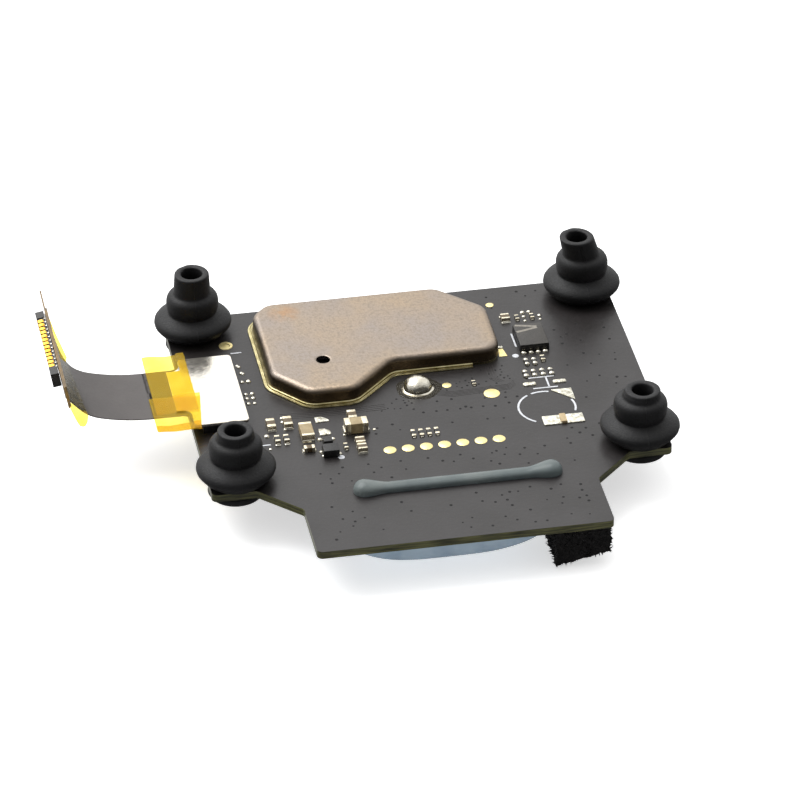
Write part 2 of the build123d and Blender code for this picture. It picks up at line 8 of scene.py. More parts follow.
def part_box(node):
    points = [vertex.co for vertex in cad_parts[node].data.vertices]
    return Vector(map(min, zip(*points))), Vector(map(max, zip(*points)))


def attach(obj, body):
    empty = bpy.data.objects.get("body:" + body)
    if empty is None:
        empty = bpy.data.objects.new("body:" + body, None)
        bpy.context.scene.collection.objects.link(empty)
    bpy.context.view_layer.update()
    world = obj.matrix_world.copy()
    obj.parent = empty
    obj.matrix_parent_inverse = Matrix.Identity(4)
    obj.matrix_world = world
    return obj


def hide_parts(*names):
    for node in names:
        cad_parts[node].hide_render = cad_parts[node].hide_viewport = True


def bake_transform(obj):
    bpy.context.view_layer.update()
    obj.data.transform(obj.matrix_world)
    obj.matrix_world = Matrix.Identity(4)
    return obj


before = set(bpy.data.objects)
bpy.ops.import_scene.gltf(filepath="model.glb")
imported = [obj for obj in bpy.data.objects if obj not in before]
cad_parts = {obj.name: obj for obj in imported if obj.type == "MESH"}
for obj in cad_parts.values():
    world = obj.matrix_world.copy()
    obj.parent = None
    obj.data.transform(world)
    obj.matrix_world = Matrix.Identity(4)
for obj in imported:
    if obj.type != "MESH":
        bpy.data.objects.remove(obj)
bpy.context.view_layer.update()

# Flight controller board of a small camera drone, lying component side up on a white table.
# Pieces are drawn in millimetres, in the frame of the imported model, and scaled to metres at the end.
MM = 0.001

# ---- real sizes, millimetres ---------------------------------------------------------
TABLE_Z = -5.02
DAMPER_X, DAMPER_Y = 20.0, 13.5
LEAD_Y, LEAD_WIDTH, LEAD_THICKNESS, LEAD_Z = 0.82, 8.2, 0.12, 1.06
LEAD_START_X, RISE_RADIUS, FOLD_RADIUS = -26.5, 19.0, 1.2
RISE_TURN, HEAD_LEAN, HEAD_TILT = map(math.radians, (24.1, 9.7, 14.7))
RISE_LENGTH = RISE_RADIUS * RISE_TURN
FOLD_LENGTH = FOLD_RADIUS * (math.pi / 2 + HEAD_LEAN - RISE_TURN)
CONTACT_PITCH, CONTACT_COUNT = 0.5, 13
TAPE_THICKNESS = 0.05
VIA_RADIUS, VIA_HEIGHT = 0.14, 0.012
PAD_RADIUS, PAD_PITCH, PAD_HEIGHT = 0.62, 1.81, 0.04
TRACK_HEIGHT = 0.018
LEGEND_WIDTH = 0.17
LEGEND_ARC = (12.15, -6.84, 2.83)  # centre x and y, radius

# ---- materials -----------------------------------------------------------------------


def linear(colour):
    """Linear values of an sRGB hex colour."""
    parts = [int(colour[i : i + 2], 16) / 255 for i in (1, 3, 5)]
    return tuple(v / 12.92 if v <= 0.04045 else ((v + 0.055) / 1.055) ** 2.4 for v in parts) + (1.0,)


def put(tree, kind, settings=None, links=None):
    """Adds a node, with its own settings, and each input from a value or another node's output."""
    made = tree.nodes.new(kind)
    for name, value in (settings or {}).items():
        setattr(made, name, value)
    for socket, value in (links or {}).items():
        if isinstance(value, bpy.types.NodeSocket):
            tree.links.new(value, made.inputs[socket])
        else:
            made.inputs[socket].default_value = value
    return made


def open_finish(name):
    """A new material, its tree, and the coordinates that its patterns use."""
    made = bpy.data.materials.new(name)
    made.use_nodes = True
    made.node_tree.nodes.clear()
    return made, made.node_tree, put(made.node_tree, "ShaderNodeTexCoord").outputs["Object"]


def clouds(tree, place, size, low=0.35, high=0.65):
    """Soft patches about size millimetres across, from 0 to 1."""
    noise = put(tree, "ShaderNodeTexNoise", {}, {"Vector": place, "Scale": 1 / (size * MM), "Detail": 3.0})
    spread = {"Value": noise.outputs["Fac"], "From Min": low, "From Max": high}
    return put(tree, "ShaderNodeMapRange", {}, spread).outputs["Result"]


def mottled(tree, place, size, first, second, low=0.35, high=0.65):
    """Patches of the second colour on the first, which is in hex or a node's output."""
    colours = {6: linear(first) if isinstance(first, str) else first, 7: linear(second)}
    share = clouds(tree, place, size, low, high)
    return put(tree, "ShaderNodeMix", {"data_type": "RGBA"}, {0: share, **colours}).outputs[2]


def facing_up(tree):
    """How far a surface faces up: 1 on a level top, 0 on a wall, -1 underneath."""
    normal = put(tree, "ShaderNodeNewGeometry").outputs["Normal"]
    return put(tree, "ShaderNodeSeparateXYZ", {}, {0: normal}).outputs["Z"]


def close_finish(made, tree, base, grain, rough, depth, **inputs):
    """Ends a material with one shader, whose grain varies the gloss and stands depth millimetres high."""
    gloss = put(tree, "ShaderNodeMapRange", {}, {"Value": grain, "To Min": rough[0], "To Max": rough[1]})
    bump = put(tree, "ShaderNodeBump", {}, {"Height": grain, "Distance": depth * MM})
    links = {"Base Color": base, "Roughness": gloss.outputs["Result"], "Normal": bump.outputs["Normal"]}
    links.update({name.replace("_", " "): value for name, value in inputs.items()})
    shader = put(tree, "ShaderNodeBsdfPrincipled", {}, links)
    put(tree, "ShaderNodeOutputMaterial", {}, {"Surface": shader.outputs["BSDF"]})
    return made


def close_clear_finish(made, tree, tint, body, ripple, depth, hidden):
    """Ends a material that light passes through, tinted; hidden is the share of its own body that shows."""
    clear = put(tree, "ShaderNodeBsdfTransparent", {}, {"Color": tint})
    bump = put(tree, "ShaderNodeBump", {}, {"Height": ripple, "Distance": depth * MM})
    gloss = put(tree, "ShaderNodeBsdfPrincipled", {}, {**body, "Normal": bump.outputs["Normal"]})
    shader = put(tree, "ShaderNodeMixShader", {}, {0: hidden, 1: clear.outputs[0], 2: gloss.outputs[0]})
    put(tree, "ShaderNodeOutputMaterial", {}, {"Surface": shader.outputs[0]})
    return made


def plain_finish(name, first, second, patch, rough, grain=0.2, depth=0.004, **inputs):
    """Two close colours in patches, and a fine grain that changes the gloss and the relief."""
    made, tree, place = open_finish(name)
    base = mottled(tree, place, patch, first, second)
    return close_finish(made, tree, base, clouds(tree, place, grain, 0.3, 0.7), rough, depth, **inputs)


def mask_finish():
    """FR4 laminate under satin black solder mask: dark warm grey faces, and bare olive sawn edges."""
    made, tree, place = open_finish("black_solder_mask_on_laminate")
    upright = put(tree, "ShaderNodeMath", {"operation": "ABSOLUTE"}, {0: facing_up(tree)}).outputs[0]
    face = put(tree, "ShaderNodeMath", {"operation": "GREATER_THAN"}, {0: upright, 1: 0.5}).outputs[0]
    mask = mottled(tree, place, 5.0, "#262322", "#2e2b2b")
    mask = mottled(tree, place, 0.16, mask, "#3a3735", 0.62, 0.72)
    layers = put(tree, "ShaderNodeMapping", {}, {"Vector": place, "Scale": (0.2, 0.2, 4.0)}).outputs[0]
    edge = mottled(tree, layers, 0.6, "#2a2a1a", "#55552f")
    base = put(tree, "ShaderNodeMix", {"data_type": "RGBA"}, {0: face, 6: edge, 7: mask}).outputs[2]
    return close_finish(made, tree, base, clouds(tree, place, 0.45, 0.3, 0.7), (0.3, 0.38), 0.006)


def shield_finish():
    """Nickel silver drawn into a can: a dull warm sheen, cloudy from handling, one heat stain, and painted
    shade on the walls.
    """
    made, tree, place = open_finish("drawn_nickel_silver")
    base = mottled(tree, place, 6.0, "#a59480", "#9a9088")
    base = mottled(tree, place, 0.35, base, "#8c8174", 0.45, 0.8)
    from_stain = {"Vector": place, "Location": (10.9 * MM, -12.2 * MM, 0)}
    from_stain = put(tree, "ShaderNodeMapping", {}, from_stain).outputs[0]
    reach = put(tree, "ShaderNodeVectorMath", {"operation": "LENGTH"}, {0: from_stain}).outputs["Value"]
    near = {"Value": reach, "From Min": 2.6 * MM, "From Max": 0.4 * MM}
    near = put(tree, "ShaderNodeMapRange", {}, near).outputs["Result"]
    stain = {0: near, 1: clouds(tree, place, 1.1, 0.4, 0.6)}
    stain = put(tree, "ShaderNodeMath", {"operation": "MULTIPLY"}, stain).outputs[0]
    base = {0: stain, 6: base, 7: linear("#b07a3e")}
    base = put(tree, "ShaderNodeMix", {"data_type": "RGBA"}, base).outputs[2]
    # Painted shade: the walls and the bend turn dark brown, standing in for the dark surroundings they face.
    wall = {"Value": facing_up(tree), "From Min": 0.75, "From Max": 0.1}
    wall = put(tree, "ShaderNodeMapRange", {}, wall).outputs["Result"]
    base = {0: wall, 6: base, 7: linear("#5a4d3c")}
    base = put(tree, "ShaderNodeMix", {"data_type": "RGBA"}, base).outputs[2]
    grain = clouds(tree, place, 0.22, 0.3, 0.7)
    return close_finish(made, tree, base, grain, (0.36, 0.5), 0.01, Metallic=1.0)


def film_finish(name, pale, deep):
    """Amber polyimide tape: clear yellow film, so what lies under it shows through, tinted."""
    made, tree, place = open_finish(name)
    tint = mottled(tree, place, 2.0, pale, deep)
    body = {"Base Color": linear("#fbd65c"), "Roughness": 0.2, "IOR": 1.5}
    return close_clear_finish(made, tree, tint, body, clouds(tree, place, 0.9, 0.2, 0.8), 0.02, 0.18)


def flux_finish():
    """Dried clear flux round a hand-made joint: a glossy, nearly clear film over the mask."""
    made, tree, place = open_finish("dried_clear_flux")
    body = {"Base Color": linear("#8a8578"), "Roughness": 0.12, "IOR": 1.5}
    ripple = clouds(tree, place, 0.5, 0.2, 0.8)
    return close_clear_finish(made, tree, linear("#d9d6cf"), body, ripple, 0.04, 0.16)


def silicone_finish(name, first, second):
    """Cast silicone: milky blue-grey, partly clear, so dark board or white table shows through it."""
    made, tree, place = open_finish(name)
    body = {"Base Color": mottled(tree, place, 2.5, first, second), "Roughness": 0.24, "IOR": 1.41}
    ripple = clouds(tree, place, 0.8, 0.2, 0.8)
    return close_clear_finish(made, tree, linear("#c6d0d6"), body, ripple, 0.02, 0.72)


def rubber_finish():
    """Carbon-filled rubber from a polished mould: near black, soft broad sheen, grey dust specks."""
    made, tree, place = open_finish("moulded_black_rubber")
    base = mottled(tree, place, 2.5, "#111112", "#18181a")
    base = mottled(tree, place, 0.12, base, "#5c5c5a", 0.74, 0.8)
    return close_finish(made, tree, base, clouds(tree, place, 0.18, 0.3, 0.7), (0.5, 0.62), 0.012, IOR=1.44)


MASK = mask_finish()
SHIELD = shield_finish()
TAPE = film_finish("amber_polyimide_film", "#fff9b8", "#fff5a6")
# The same film where it is folded double: deeper yellow.
TAPE_FOLD = film_finish("doubled_polyimide_film", "#faeb9c", "#f4e38c")
FLUX = flux_finish()
RUBBER = rubber_finish()
# The same casting looks darker over the board than under the tongue, where light comes through it: two copies
# of one colour, with painted shade over the board and painted light under the tongue.
SILICONE = silicone_finish("cast_silicone_painted_shade_over_board", "#7a8484", "#8a9290")
CUSHION = silicone_finish("cast_silicone_painted_light_through", "#8a9cac", "#9cadbb")
# Tin-plated brass strip, stamped: the soldered frame shows as a bright yellow-green rim.
RIM = plain_finish("plated_brass_strip", "#d2c89c", "#a89d70", 1.2, (0.26, 0.4), Metallic=1.0)
# Immersion gold over copper: pale yellow, flat, slightly satin.
GOLD = plain_finish("immersion_gold", "#fff0b4", "#f8e49e", 1.0, (0.4, 0.5), 0.1, Metallic=0.8)
# Gold-plated stamped spring contacts: deeper yellow and shinier.
CONTACT = plain_finish("plated_spring_contact", "#f2c050", "#d99a34", 0.5, (0.24, 0.34), 0.1, Metallic=1.0)
# Reflowed tin solder: bright, smooth, with frosty patches.
SOLDER = plain_finish("reflowed_tin_solder", "#ece8da", "#cfcabb", 0.6, (0.14, 0.3), 0.15, 0.01,
                      Metallic=1.0)
# Sintered barium titanate body of a ceramic capacitor: matt tan.
CERAMIC = plain_finish("sintered_tan_ceramic", "#b3a078", "#a08d68", 0.7, (0.4, 0.5), 0.08)
# Alumina body of a link, fired pale.
PALE_CERAMIC = plain_finish("fired_pale_alumina", "#cdb68c", "#bda57a", 0.5, (0.4, 0.5), 0.08)
# Denser brown body of a small capacitor.
BROWN_CERAMIC = plain_finish("sintered_brown_ceramic", "#6a583a", "#54452e", 0.6, (0.4, 0.5), 0.08)
# Fired silver end dipped in tin: pale, faintly pink, satin.
CHIP_END = plain_finish("tinned_chip_end", "#f1e9d2", "#d6ccb2", 0.4, (0.24, 0.38), 0.08, Metallic=0.85)
# Glass-filled epoxy package: black, matt, finely pitted.
EPOXY = plain_finish("moulded_chip_epoxy", "#1b1a1a", "#222120", 1.0, (0.4, 0.52), 0.12, 0.01)
# Top of the same epoxy, where the laser marks sit, painted greyer: a painted sheen where light rakes it.
EPOXY_TOP = plain_finish("chip_epoxy_painted_top_sheen", "#2f2c28", "#38342e", 1.0, (0.3, 0.4), 0.12, 0.01)
# Laser mark burnt into the epoxy: pale grey, matt.
MARK = plain_finish("laser_mark_on_epoxy", "#9c968b", "#87827a", 0.4, (0.6, 0.7), 0.1)
# Tape over the folded lead, inside the turn: olive from the grey below it.
TAPED_FOLD = plain_finish("taped_fold_of_lead", "#5d5332", "#3c3826", 1.1, (0.22, 0.34), 0.4, 0.03)
# White legend ink, screen printed: matt and slightly uneven.
INK = plain_finish("printed_white_ink", "#eef0f4", "#cfd2d8", 0.4, (0.6, 0.7), 0.1, 0.006)
# Dark coverlay of a flexible circuit, laminated: smooth satin grey.
COVERLAY = plain_finish("laminated_grey_coverlay", "#4d4846", "#544f4d", 4.0, (0.34, 0.44), 0.3)
# Polished steel stiffener under clear lacquer: mirrors the white surroundings, warm white.
STIFFENER = plain_finish("lacquered_steel_plate", "#fffaf0", "#f6efdf", 4.0, (0.12, 0.2), 0.5,
                         Metallic=0.92)
# Brown edge and back of polyimide circuit film.
AMBER_CORE = plain_finish("bare_polyimide_core", "#8a6a2c", "#6c5428", 0.8, (0.35, 0.45), 0.2)
# Liquid crystal polymer, injection moulded: black, slightly glossy.
PLASTIC = plain_finish("moulded_black_polymer", "#1c1b1a", "#262422", 1.0, (0.35, 0.45), 0.12)
# Bare tinned land, levelled by hot air: bright, slightly domed.
LAND = plain_finish("levelled_tin_land", "#fdfbee", "#b7b29e", 0.45, (0.25, 0.45), 0.15, 0.03, Metallic=0.7)
# Copper tunnel of a via under mask, drawn as a low disc painted near black: painted shade for its pit.
VIA = plain_finish("via_pit_painted_shade", "#100f0f", "#0c0b0b", 0.3, (0.75, 0.85), 0.1)
# Copper tracks under the mask: the same grey, a touch lighter, standing proud.
TRACK = plain_finish("masked_copper_track", "#302d2c", "#373433", 1.0, (0.36, 0.44), 0.3)
# Open-cell polyurethane foam, cut: black and light-absorbing.
FOAM = plain_finish("cut_black_foam", "#0b0a0a", "#141212", 0.4, (0.85, 0.95), 0.12, 0.05)
# Filled silicone gel pad for heat: soft pale pink-grey, dull.
GEL = plain_finish("filled_thermal_gel", "#a9a2a8", "#8f8a90", 1.0, (0.6, 0.7), 0.2, 0.02)

# ---- mesh tools ----------------------------------------------------------------------


def rectangle(x, y, width, length):
    """Corners of a rectangle, anticlockwise."""
    return [(x + i * width / 2, y + j * length / 2) for i, j in ((-1, -1), (1, -1), (1, 1), (-1, 1))]


def outline(points, radius, inset=0.0, steps=5):
    """Anticlockwise outline with rounded corners, moved inwards by inset."""
    made = []
    for i, corner in enumerate(points):
        corner, before, after = Vector(corner), Vector(points[i - 1]), Vector(points[(i + 1) % len(points)])
        a, b = (corner - before).normalized(), (after - corner).normalized()
        left_a, left_b = Vector((-a.y, a.x)), Vector((-b.y, b.x))
        angle = math.atan2(a.x * b.y - a.y * b.x, a.dot(b))
        side = 1 if angle > 0 else -1
        corner = corner + (left_a + left_b).normalized() * inset / math.cos(angle / 2)
        size = max(radius - side * inset, 0.01)
        centre = corner - a * size * math.tan(abs(angle) / 2) + left_a * side * size
        for k in range(steps + 1):
            arm = (left_a * -side * size).copy()
            arm.rotate(Matrix.Rotation(angle * k / steps, 2))
            made.append(centre + arm)
    return made


def add_rings(shape, rings, finish=0, caps=(True, True)):
    """Skins closed rings of points in order, and closes the ends."""
    made = [[shape.verts.new(p) for p in ring] for ring in rings]
    faces = []
    for a, b in zip(made, made[1:]):
        faces += [shape.faces.new((a[i - 1], a[i], b[i], b[i - 1])) for i in range(len(a))]
    if caps[0]:
        faces.append(shape.faces.new(made[0][::-1]))
    if caps[1]:
        faces.append(shape.faces.new(made[-1]))
    for face in faces:
        face.material_index = finish
    return made


def add_slab(shape, points, low, high, radius=0.05, edge=0.04, draft=0.0, finish=0, steps=3):
    """Flat part with rounded corners and a softened top edge."""
    levels = [(0.0, low), (draft, high - edge)]
    for k in range(1, steps + 1):
        turn = math.pi / 2 * k / steps
        levels.append((draft + edge * (1 - math.cos(turn)), high - edge * (1 - math.sin(turn))))
    rings = [[(*p, z) for p in outline(points, radius, inset)] for inset, z in levels]
    return add_rings(shape, rings, finish)


def add_stroke(shape, points, width, low=0.0, high=0.02, finish=0):
    """Flat ribbon along points, such as a printed line or a track."""
    rings = []
    for i, point in enumerate(points):
        ahead = Vector(points[min(i + 1, len(points) - 1)]) - Vector(points[max(i - 1, 0)])
        side = Vector((-ahead.y, ahead.x)).normalized() * width / 2
        left, right = Vector(point) + side, Vector(point) - side
        rings.append([(*left, low), (*right, low), (*right, high), (*left, high)])
    add_rings(shape, rings, finish)


def add_lathe(shape, profile, centre, angles, move=None):
    """Turned shape; move gives each ring's sideways shift and each point's extra radius."""
    rings = []
    for radius, z in profile:
        ring = []
        for angle in angles:
            dx, dy, extra = move(angle, radius, z) if move else (0.0, 0.0, 0.0)
            r = radius + extra
            ring.append((centre[0] + dx + r * math.cos(angle), centre[1] + dy + r * math.sin(angle), z))
        rings.append(ring)
    return add_rings(shape, rings)


def circle(count):
    """Angles evenly round a circle."""
    return [2 * math.pi * i / count for i in range(count)]


def add_sheet(shape, grid, thickness, change=math.inf):
    """Closed thin sheet about rows of points on its middle surface; second finish from row change on."""
    rows, columns = len(grid), len(grid[0])
    grid = [[Vector(p) for p in row] for row in grid]
    sides = []
    for sign in (1, -1):
        side = []
        for i in range(rows):
            line = []
            for j in range(columns):
                down = grid[min(i + 1, rows - 1)][j] - grid[max(i - 1, 0)][j]
                across = grid[i][min(j + 1, columns - 1)] - grid[i][max(j - 1, 0)]
                out = down.cross(across).normalized() * sign * thickness / 2
                line.append(shape.verts.new(grid[i][j] + out))
            side.append(line)
        sides.append(side)
    for side in sides:
        for i in range(rows - 1):
            for j in range(columns - 1):
                face = shape.faces.new((side[i][j], side[i + 1][j], side[i + 1][j + 1], side[i][j + 1]))
                face.material_index = 1 if i >= change else 0
    rim = [(i, 0) for i in range(rows)] + [(rows - 1, j) for j in range(1, columns)]
    rim += [(i, columns - 1) for i in range(rows - 2, -1, -1)] + [(0, j) for j in range(columns - 2, 0, -1)]
    for (i, j), (k, m) in zip(rim, rim[1:] + rim[:1]):
        shape.faces.new((sides[0][i][j], sides[0][k][m], sides[1][k][m], sides[1][i][j]))


def claim(obj, body, nodes=(), bend=None):
    """Gives a finished piece its body; a piece given a bend only has its transform baked into its mesh."""
    if bend:
        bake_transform(obj)
    else:
        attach(obj, body)
    if nodes:
        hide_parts(*nodes)
    return obj


def finish_piece(name, shape, finishes, body, nodes=(), bend=None, crease=35):
    """Turns a shape drawn in millimetres into a piece with its materials."""
    bmesh.ops.remove_doubles(shape, verts=shape.verts, dist=1e-4)
    bmesh.ops.recalc_face_normals(shape, faces=shape.faces)
    bmesh.ops.scale(shape, vec=(MM, MM, MM), verts=shape.verts)
    mesh = bpy.data.meshes.new(name)
    shape.to_mesh(mesh)
    shape.free()
    mesh.polygons.foreach_set("use_smooth", [True] * len(mesh.polygons))
    mesh.set_sharp_from_angle(angle=math.radians(crease))
    for finish in finishes:
        mesh.materials.append(finish)
    obj = bpy.data.objects.new(name, mesh)
    bpy.context.scene.collection.objects.link(obj)
    return claim(obj, body, nodes, bend) if body else obj


# ---- Geometry Nodes for what repeats ---------------------------------------------------


def open_rule(name, inputs):
    """Tree with named inputs: the tree, its input node, and each input's identifier."""
    tree = bpy.data.node_groups.new(name, "GeometryNodeTree")
    keys = {}
    for label, kind in [("Geometry", "Geometry"), ("Item", "Object"), ("Finish", "Material"), *inputs]:
        made = tree.interface.new_socket(label, in_out="INPUT", socket_type="NodeSocket" + kind)
        keys[label] = made.identifier
    tree.interface.new_socket("Geometry", in_out="OUTPUT", socket_type="NodeSocketGeometry")
    return tree, put(tree, "NodeGroupInput"), keys


def close_rule(tree, source, placed):
    """Copies of the item on the points, with their spread of sizes, made real and given the finish."""
    if "Least" in source.outputs:
        size = {2: source.outputs["Least"], 3: source.outputs["Most"], "Seed": source.outputs["Seed"]}
        size = put(tree, "FunctionNodeRandomValue", {"data_type": "FLOAT"}, size)
        placed = {**placed, "Scale": size.outputs[1]}
    item = put(tree, "GeometryNodeObjectInfo", {}, {"Object": source.outputs["Item"], "As Instance": True})
    copies = put(tree, "GeometryNodeInstanceOnPoints", {}, {"Instance": item.outputs["Geometry"], **placed})
    real = put(tree, "GeometryNodeRealizeInstances", {}, {"Geometry": copies.outputs[0]})
    painted = {"Geometry": real.outputs[0], "Material": source.outputs["Finish"]}
    painted = put(tree, "GeometryNodeSetMaterial", {}, painted)
    put(tree, "NodeGroupOutput", {}, {"Geometry": painted.outputs[0]})


def row_rule():
    """Copies in a straight row at a fixed pitch."""
    tree, source, keys = open_rule("even_row", [("Count", "Int"), ("Start", "Vector"), ("Step", "Vector")])
    line = {"Count": source.outputs["Count"], "Start Location": source.outputs["Start"]}
    line = put(tree, "GeometryNodeMeshLine", {}, {**line, "Offset": source.outputs["Step"]})
    close_rule(tree, source, {"Points": line.outputs[0]})
    return tree, keys


def spot_rule():
    """Copies on the points of a mesh, with a little change of size."""
    tree, source, keys = open_rule("set_places", [("Least", "Float"), ("Most", "Float"), ("Seed", "Int")])
    close_rule(tree, source, {"Points": source.outputs["Geometry"]})
    return tree, keys


def scatter_rule():
    """Copies spread over a surface, no nearer to each other than a spacing."""
    sizes = [(label, "Float") for label in ("Spacing", "Density", "Least", "Most")]
    tree, source, keys = open_rule("loose_spread", [*sizes, ("Seed", "Int")])
    spread = {"Mesh": source.outputs["Geometry"], "Distance Min": source.outputs["Spacing"]}
    spread.update({"Density Max": source.outputs["Density"], "Seed": source.outputs["Seed"]})
    points = put(tree, "GeometryNodeDistributePointsOnFaces", {"distribute_method": "POISSON"}, spread)
    close_rule(tree, source, {"Points": points.outputs["Points"], "Rotation": points.outputs["Rotation"]})
    return tree, keys


ROW, SPOTS, SCATTER = row_rule(), spot_rule(), scatter_rule()


def grow(name, rule, item, finish, body, slot, base=None, nodes=(), **values):
    """Runs a rule on an item and keeps the result as a plain mesh."""
    tree, keys = rule
    mesh = bpy.data.meshes.new(name)
    if base:
        mesh.from_pydata([[v * MM for v in p] for p in base[0]], [], base[1])
    obj = bpy.data.objects.new(name, mesh)
    bpy.context.scene.collection.objects.link(obj)
    made = obj.modifiers.new("rule", "NODES")
    made.node_group = tree
    for label, value in {"Item": item, "Finish": finish, **values}.items():
        made[keys[label]] = value
    bpy.context.view_layer.update()
    real = bpy.data.meshes.new_from_object(obj.evaluated_get(bpy.context.evaluated_depsgraph_get()))
    obj.modifiers.remove(made)
    obj.data = real
    obj.data.name = name
    bpy.data.meshes.remove(mesh)
    return claim(obj, body, nodes)


def item_from(name, shape):
    """A shape to be repeated, which is taken away once it has been."""
    return finish_piece(name, shape, [], None)


def drop(item):
    """Takes away a repeated item's own object."""
    bpy.data.objects.remove(item)


# ---- laminate: vias, tracks, legend, pads ----------------------------------------------


def disc_item(name, radius, height, sides=12, dome=False):
    """Small round item standing on the board: flat like a pad, or domed like a solder ball."""
    shape = bmesh.new()
    if dome:
        profile = [(radius * math.cos(t), height * math.sin(t)) for t in (0, 0.35, 0.7, 1.05, 1.4)]
    else:
        profile = [(radius, 0), (radius, height * 0.6), (radius * 0.96, height)]
    add_lathe(shape, profile, (0, 0), circle(sides))
    return item_from(name, shape)


def flat_faces(rectangles):
    """Points and faces of loose rectangles on the board, as ground for a scatter."""
    points, faces = [], []
    for x0, y0, x1, y1 in rectangles:
        first = len(points)
        points += [(x0, y0, 0), (x1, y0, 0), (x1, y1, 0), (x0, y1, 0)]
        faces.append((first, first + 1, first + 2, first + 3))
    return points, faces


def laminate():
    """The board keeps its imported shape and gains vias, tracks, printing and pads."""
    # Each via is a low disc in the painted shade of a pit.
    pit = disc_item("pit", VIA_RADIUS, VIA_HEIGHT, 10)
    areas = [(-13, -26.5, 13.5, -20), (-12, -16.6, 13, -12.6), (0, -8, 9.8, -3), (10.6, -12.6, 20, -10.6)]
    areas += [(15.6, -8, 21, 8), (9.8, 12, 17, 15.2), (-20, -10.5, -15.5, -6.5), (-5.4, -10.4, -2.6, -3.4)]
    close = [(2.2, -2.0, 6.6, -0.2), (7.0, -2.2, 9.6, 1.4), (-3.4, -4.8, -0.6, -2.6)]
    spreads = [("scattered_vias", areas, 0.75, 320000.0, 0.7, 1.2, 4)]
    spreads += [("clustered_vias", close, 0.42, 3000000.0, 0.6, 0.95, 9)]
    for name, ground, spacing, per_square_metre, least, most, seed in spreads:
        grow(name, SCATTER, pit, VIA, "board", "board_laminate", flat_faces(ground),
             Spacing=spacing * MM, Density=per_square_metre, Least=least, Most=most, Seed=seed)
    rows = [(x, -13.5, 0) for x in (-7, -3.8, -1.1, 2.1, 5.7, 8.5, 10.5, 13.1)]
    rows += [(x, -5.5, 0) for x in (0, 1.3, 2.4, 3.7, 4.8, 6)]
    grow("row_vias", SPOTS, pit, VIA, "board", "board_laminate", (rows, []), Least=0.95, Most=1.1, Seed=2)
    drop(pit)

    shape = bmesh.new()
    tracks = [([(1.9, -1.7 - d), (3.4, -2.3 - d), (9.2, -2.0 - d), (9.9, -1.3 - d)], 0.1)
              for d in (0.22 * i for i in range(5))]
    tracks += [([(7.6 + d, 1.7), (7.6 + d, -0.6), (8.2 + d, -1.4)], 0.09)
               for d in (0.25 * i for i in range(4))]
    tracks += [([(-14 + d, -3.2 - d), (-10.5, -3.4 - d), (-3.5, -3.3 - d)], 0.11)
               for d in (0.3 * i for i in range(4))]
    for points, width in tracks:
        add_stroke(shape, points, width, high=TRACK_HEIGHT)
    finish_piece("raised_tracks", shape, [TRACK], "board")

    shape = bmesh.new()
    lines = [[(x - 0.55, y), (x + 0.55, y)] for x, y in ((-16.4, 8.6), (-16.3, -8.4))]
    lines += [[(11.4, 7.0), (11.4, 4.5)], [(11.4, -1.4), (14.0, -1.4)], [(13.15, -1.5), (13.15, -3.2)]]
    for points in lines + [[(11.5, -3.35), (14.0, -3.35)]]:
        add_stroke(shape, points, LEGEND_WIDTH)
    x, y, radius = LEGEND_ARC
    for start, end in ((75, 112), (122, 236), (-22, 20)):
        angles = [math.radians(start + (end - start) * k / 12) for k in range(13)]
        add_stroke(shape, [(x + radius * math.cos(t), y + radius * math.sin(t)) for t in angles], 0.2)
    for x, y in ((11.0, 2.9), (-9.35, -11.8)):
        add_slab(shape, rectangle(x, y, 0.66, 0.66), 0, 0.02, 0.32, 0.005)
    finish_piece("printed_legend", shape, [INK], "board")

    pad = disc_item("pad", PAD_RADIUS, PAD_HEIGHT, 32)
    grow("gold_pad_row", ROW, pad, GOLD, "board", "gold", Count=7, Start=(-4.47 * MM, -11.46 * MM, 0),
         Step=(PAD_PITCH * MM, 0, 0))
    drop(pad)
    shape = bmesh.new()
    for x, y, radius in ((3.2, -1.15, 0.45), (7.3, -3.4, 0.8), (10.35, 12.7, 0.4)):
        add_lathe(shape, [(radius, 0), (radius, 0.03), (radius - 0.02, PAD_HEIGHT)], (x, y), circle(32))
    add_slab(shape, [(9.35, 3.0), (10.2, 3.0), (10.0, 4.4), (9.55, 4.4)], 0, PAD_HEIGHT, 0.04, 0.01)
    finish_piece("gold_pads", shape, [GOLD], "board", ["test_pads"])
    shape = bmesh.new()
    ring = [(0.42, -0.02), (0.42, 0.05), (0.46, 0.06), (0.68, 0.06), (0.72, 0.0)]
    add_lathe(shape, ring + ring[:1], (-17.2, 10.1), circle(32))
    finish_piece("plated_hole", shape, [GOLD], "board", ["plated_ring"])


# ---- solder ----------------------------------------------------------------------------


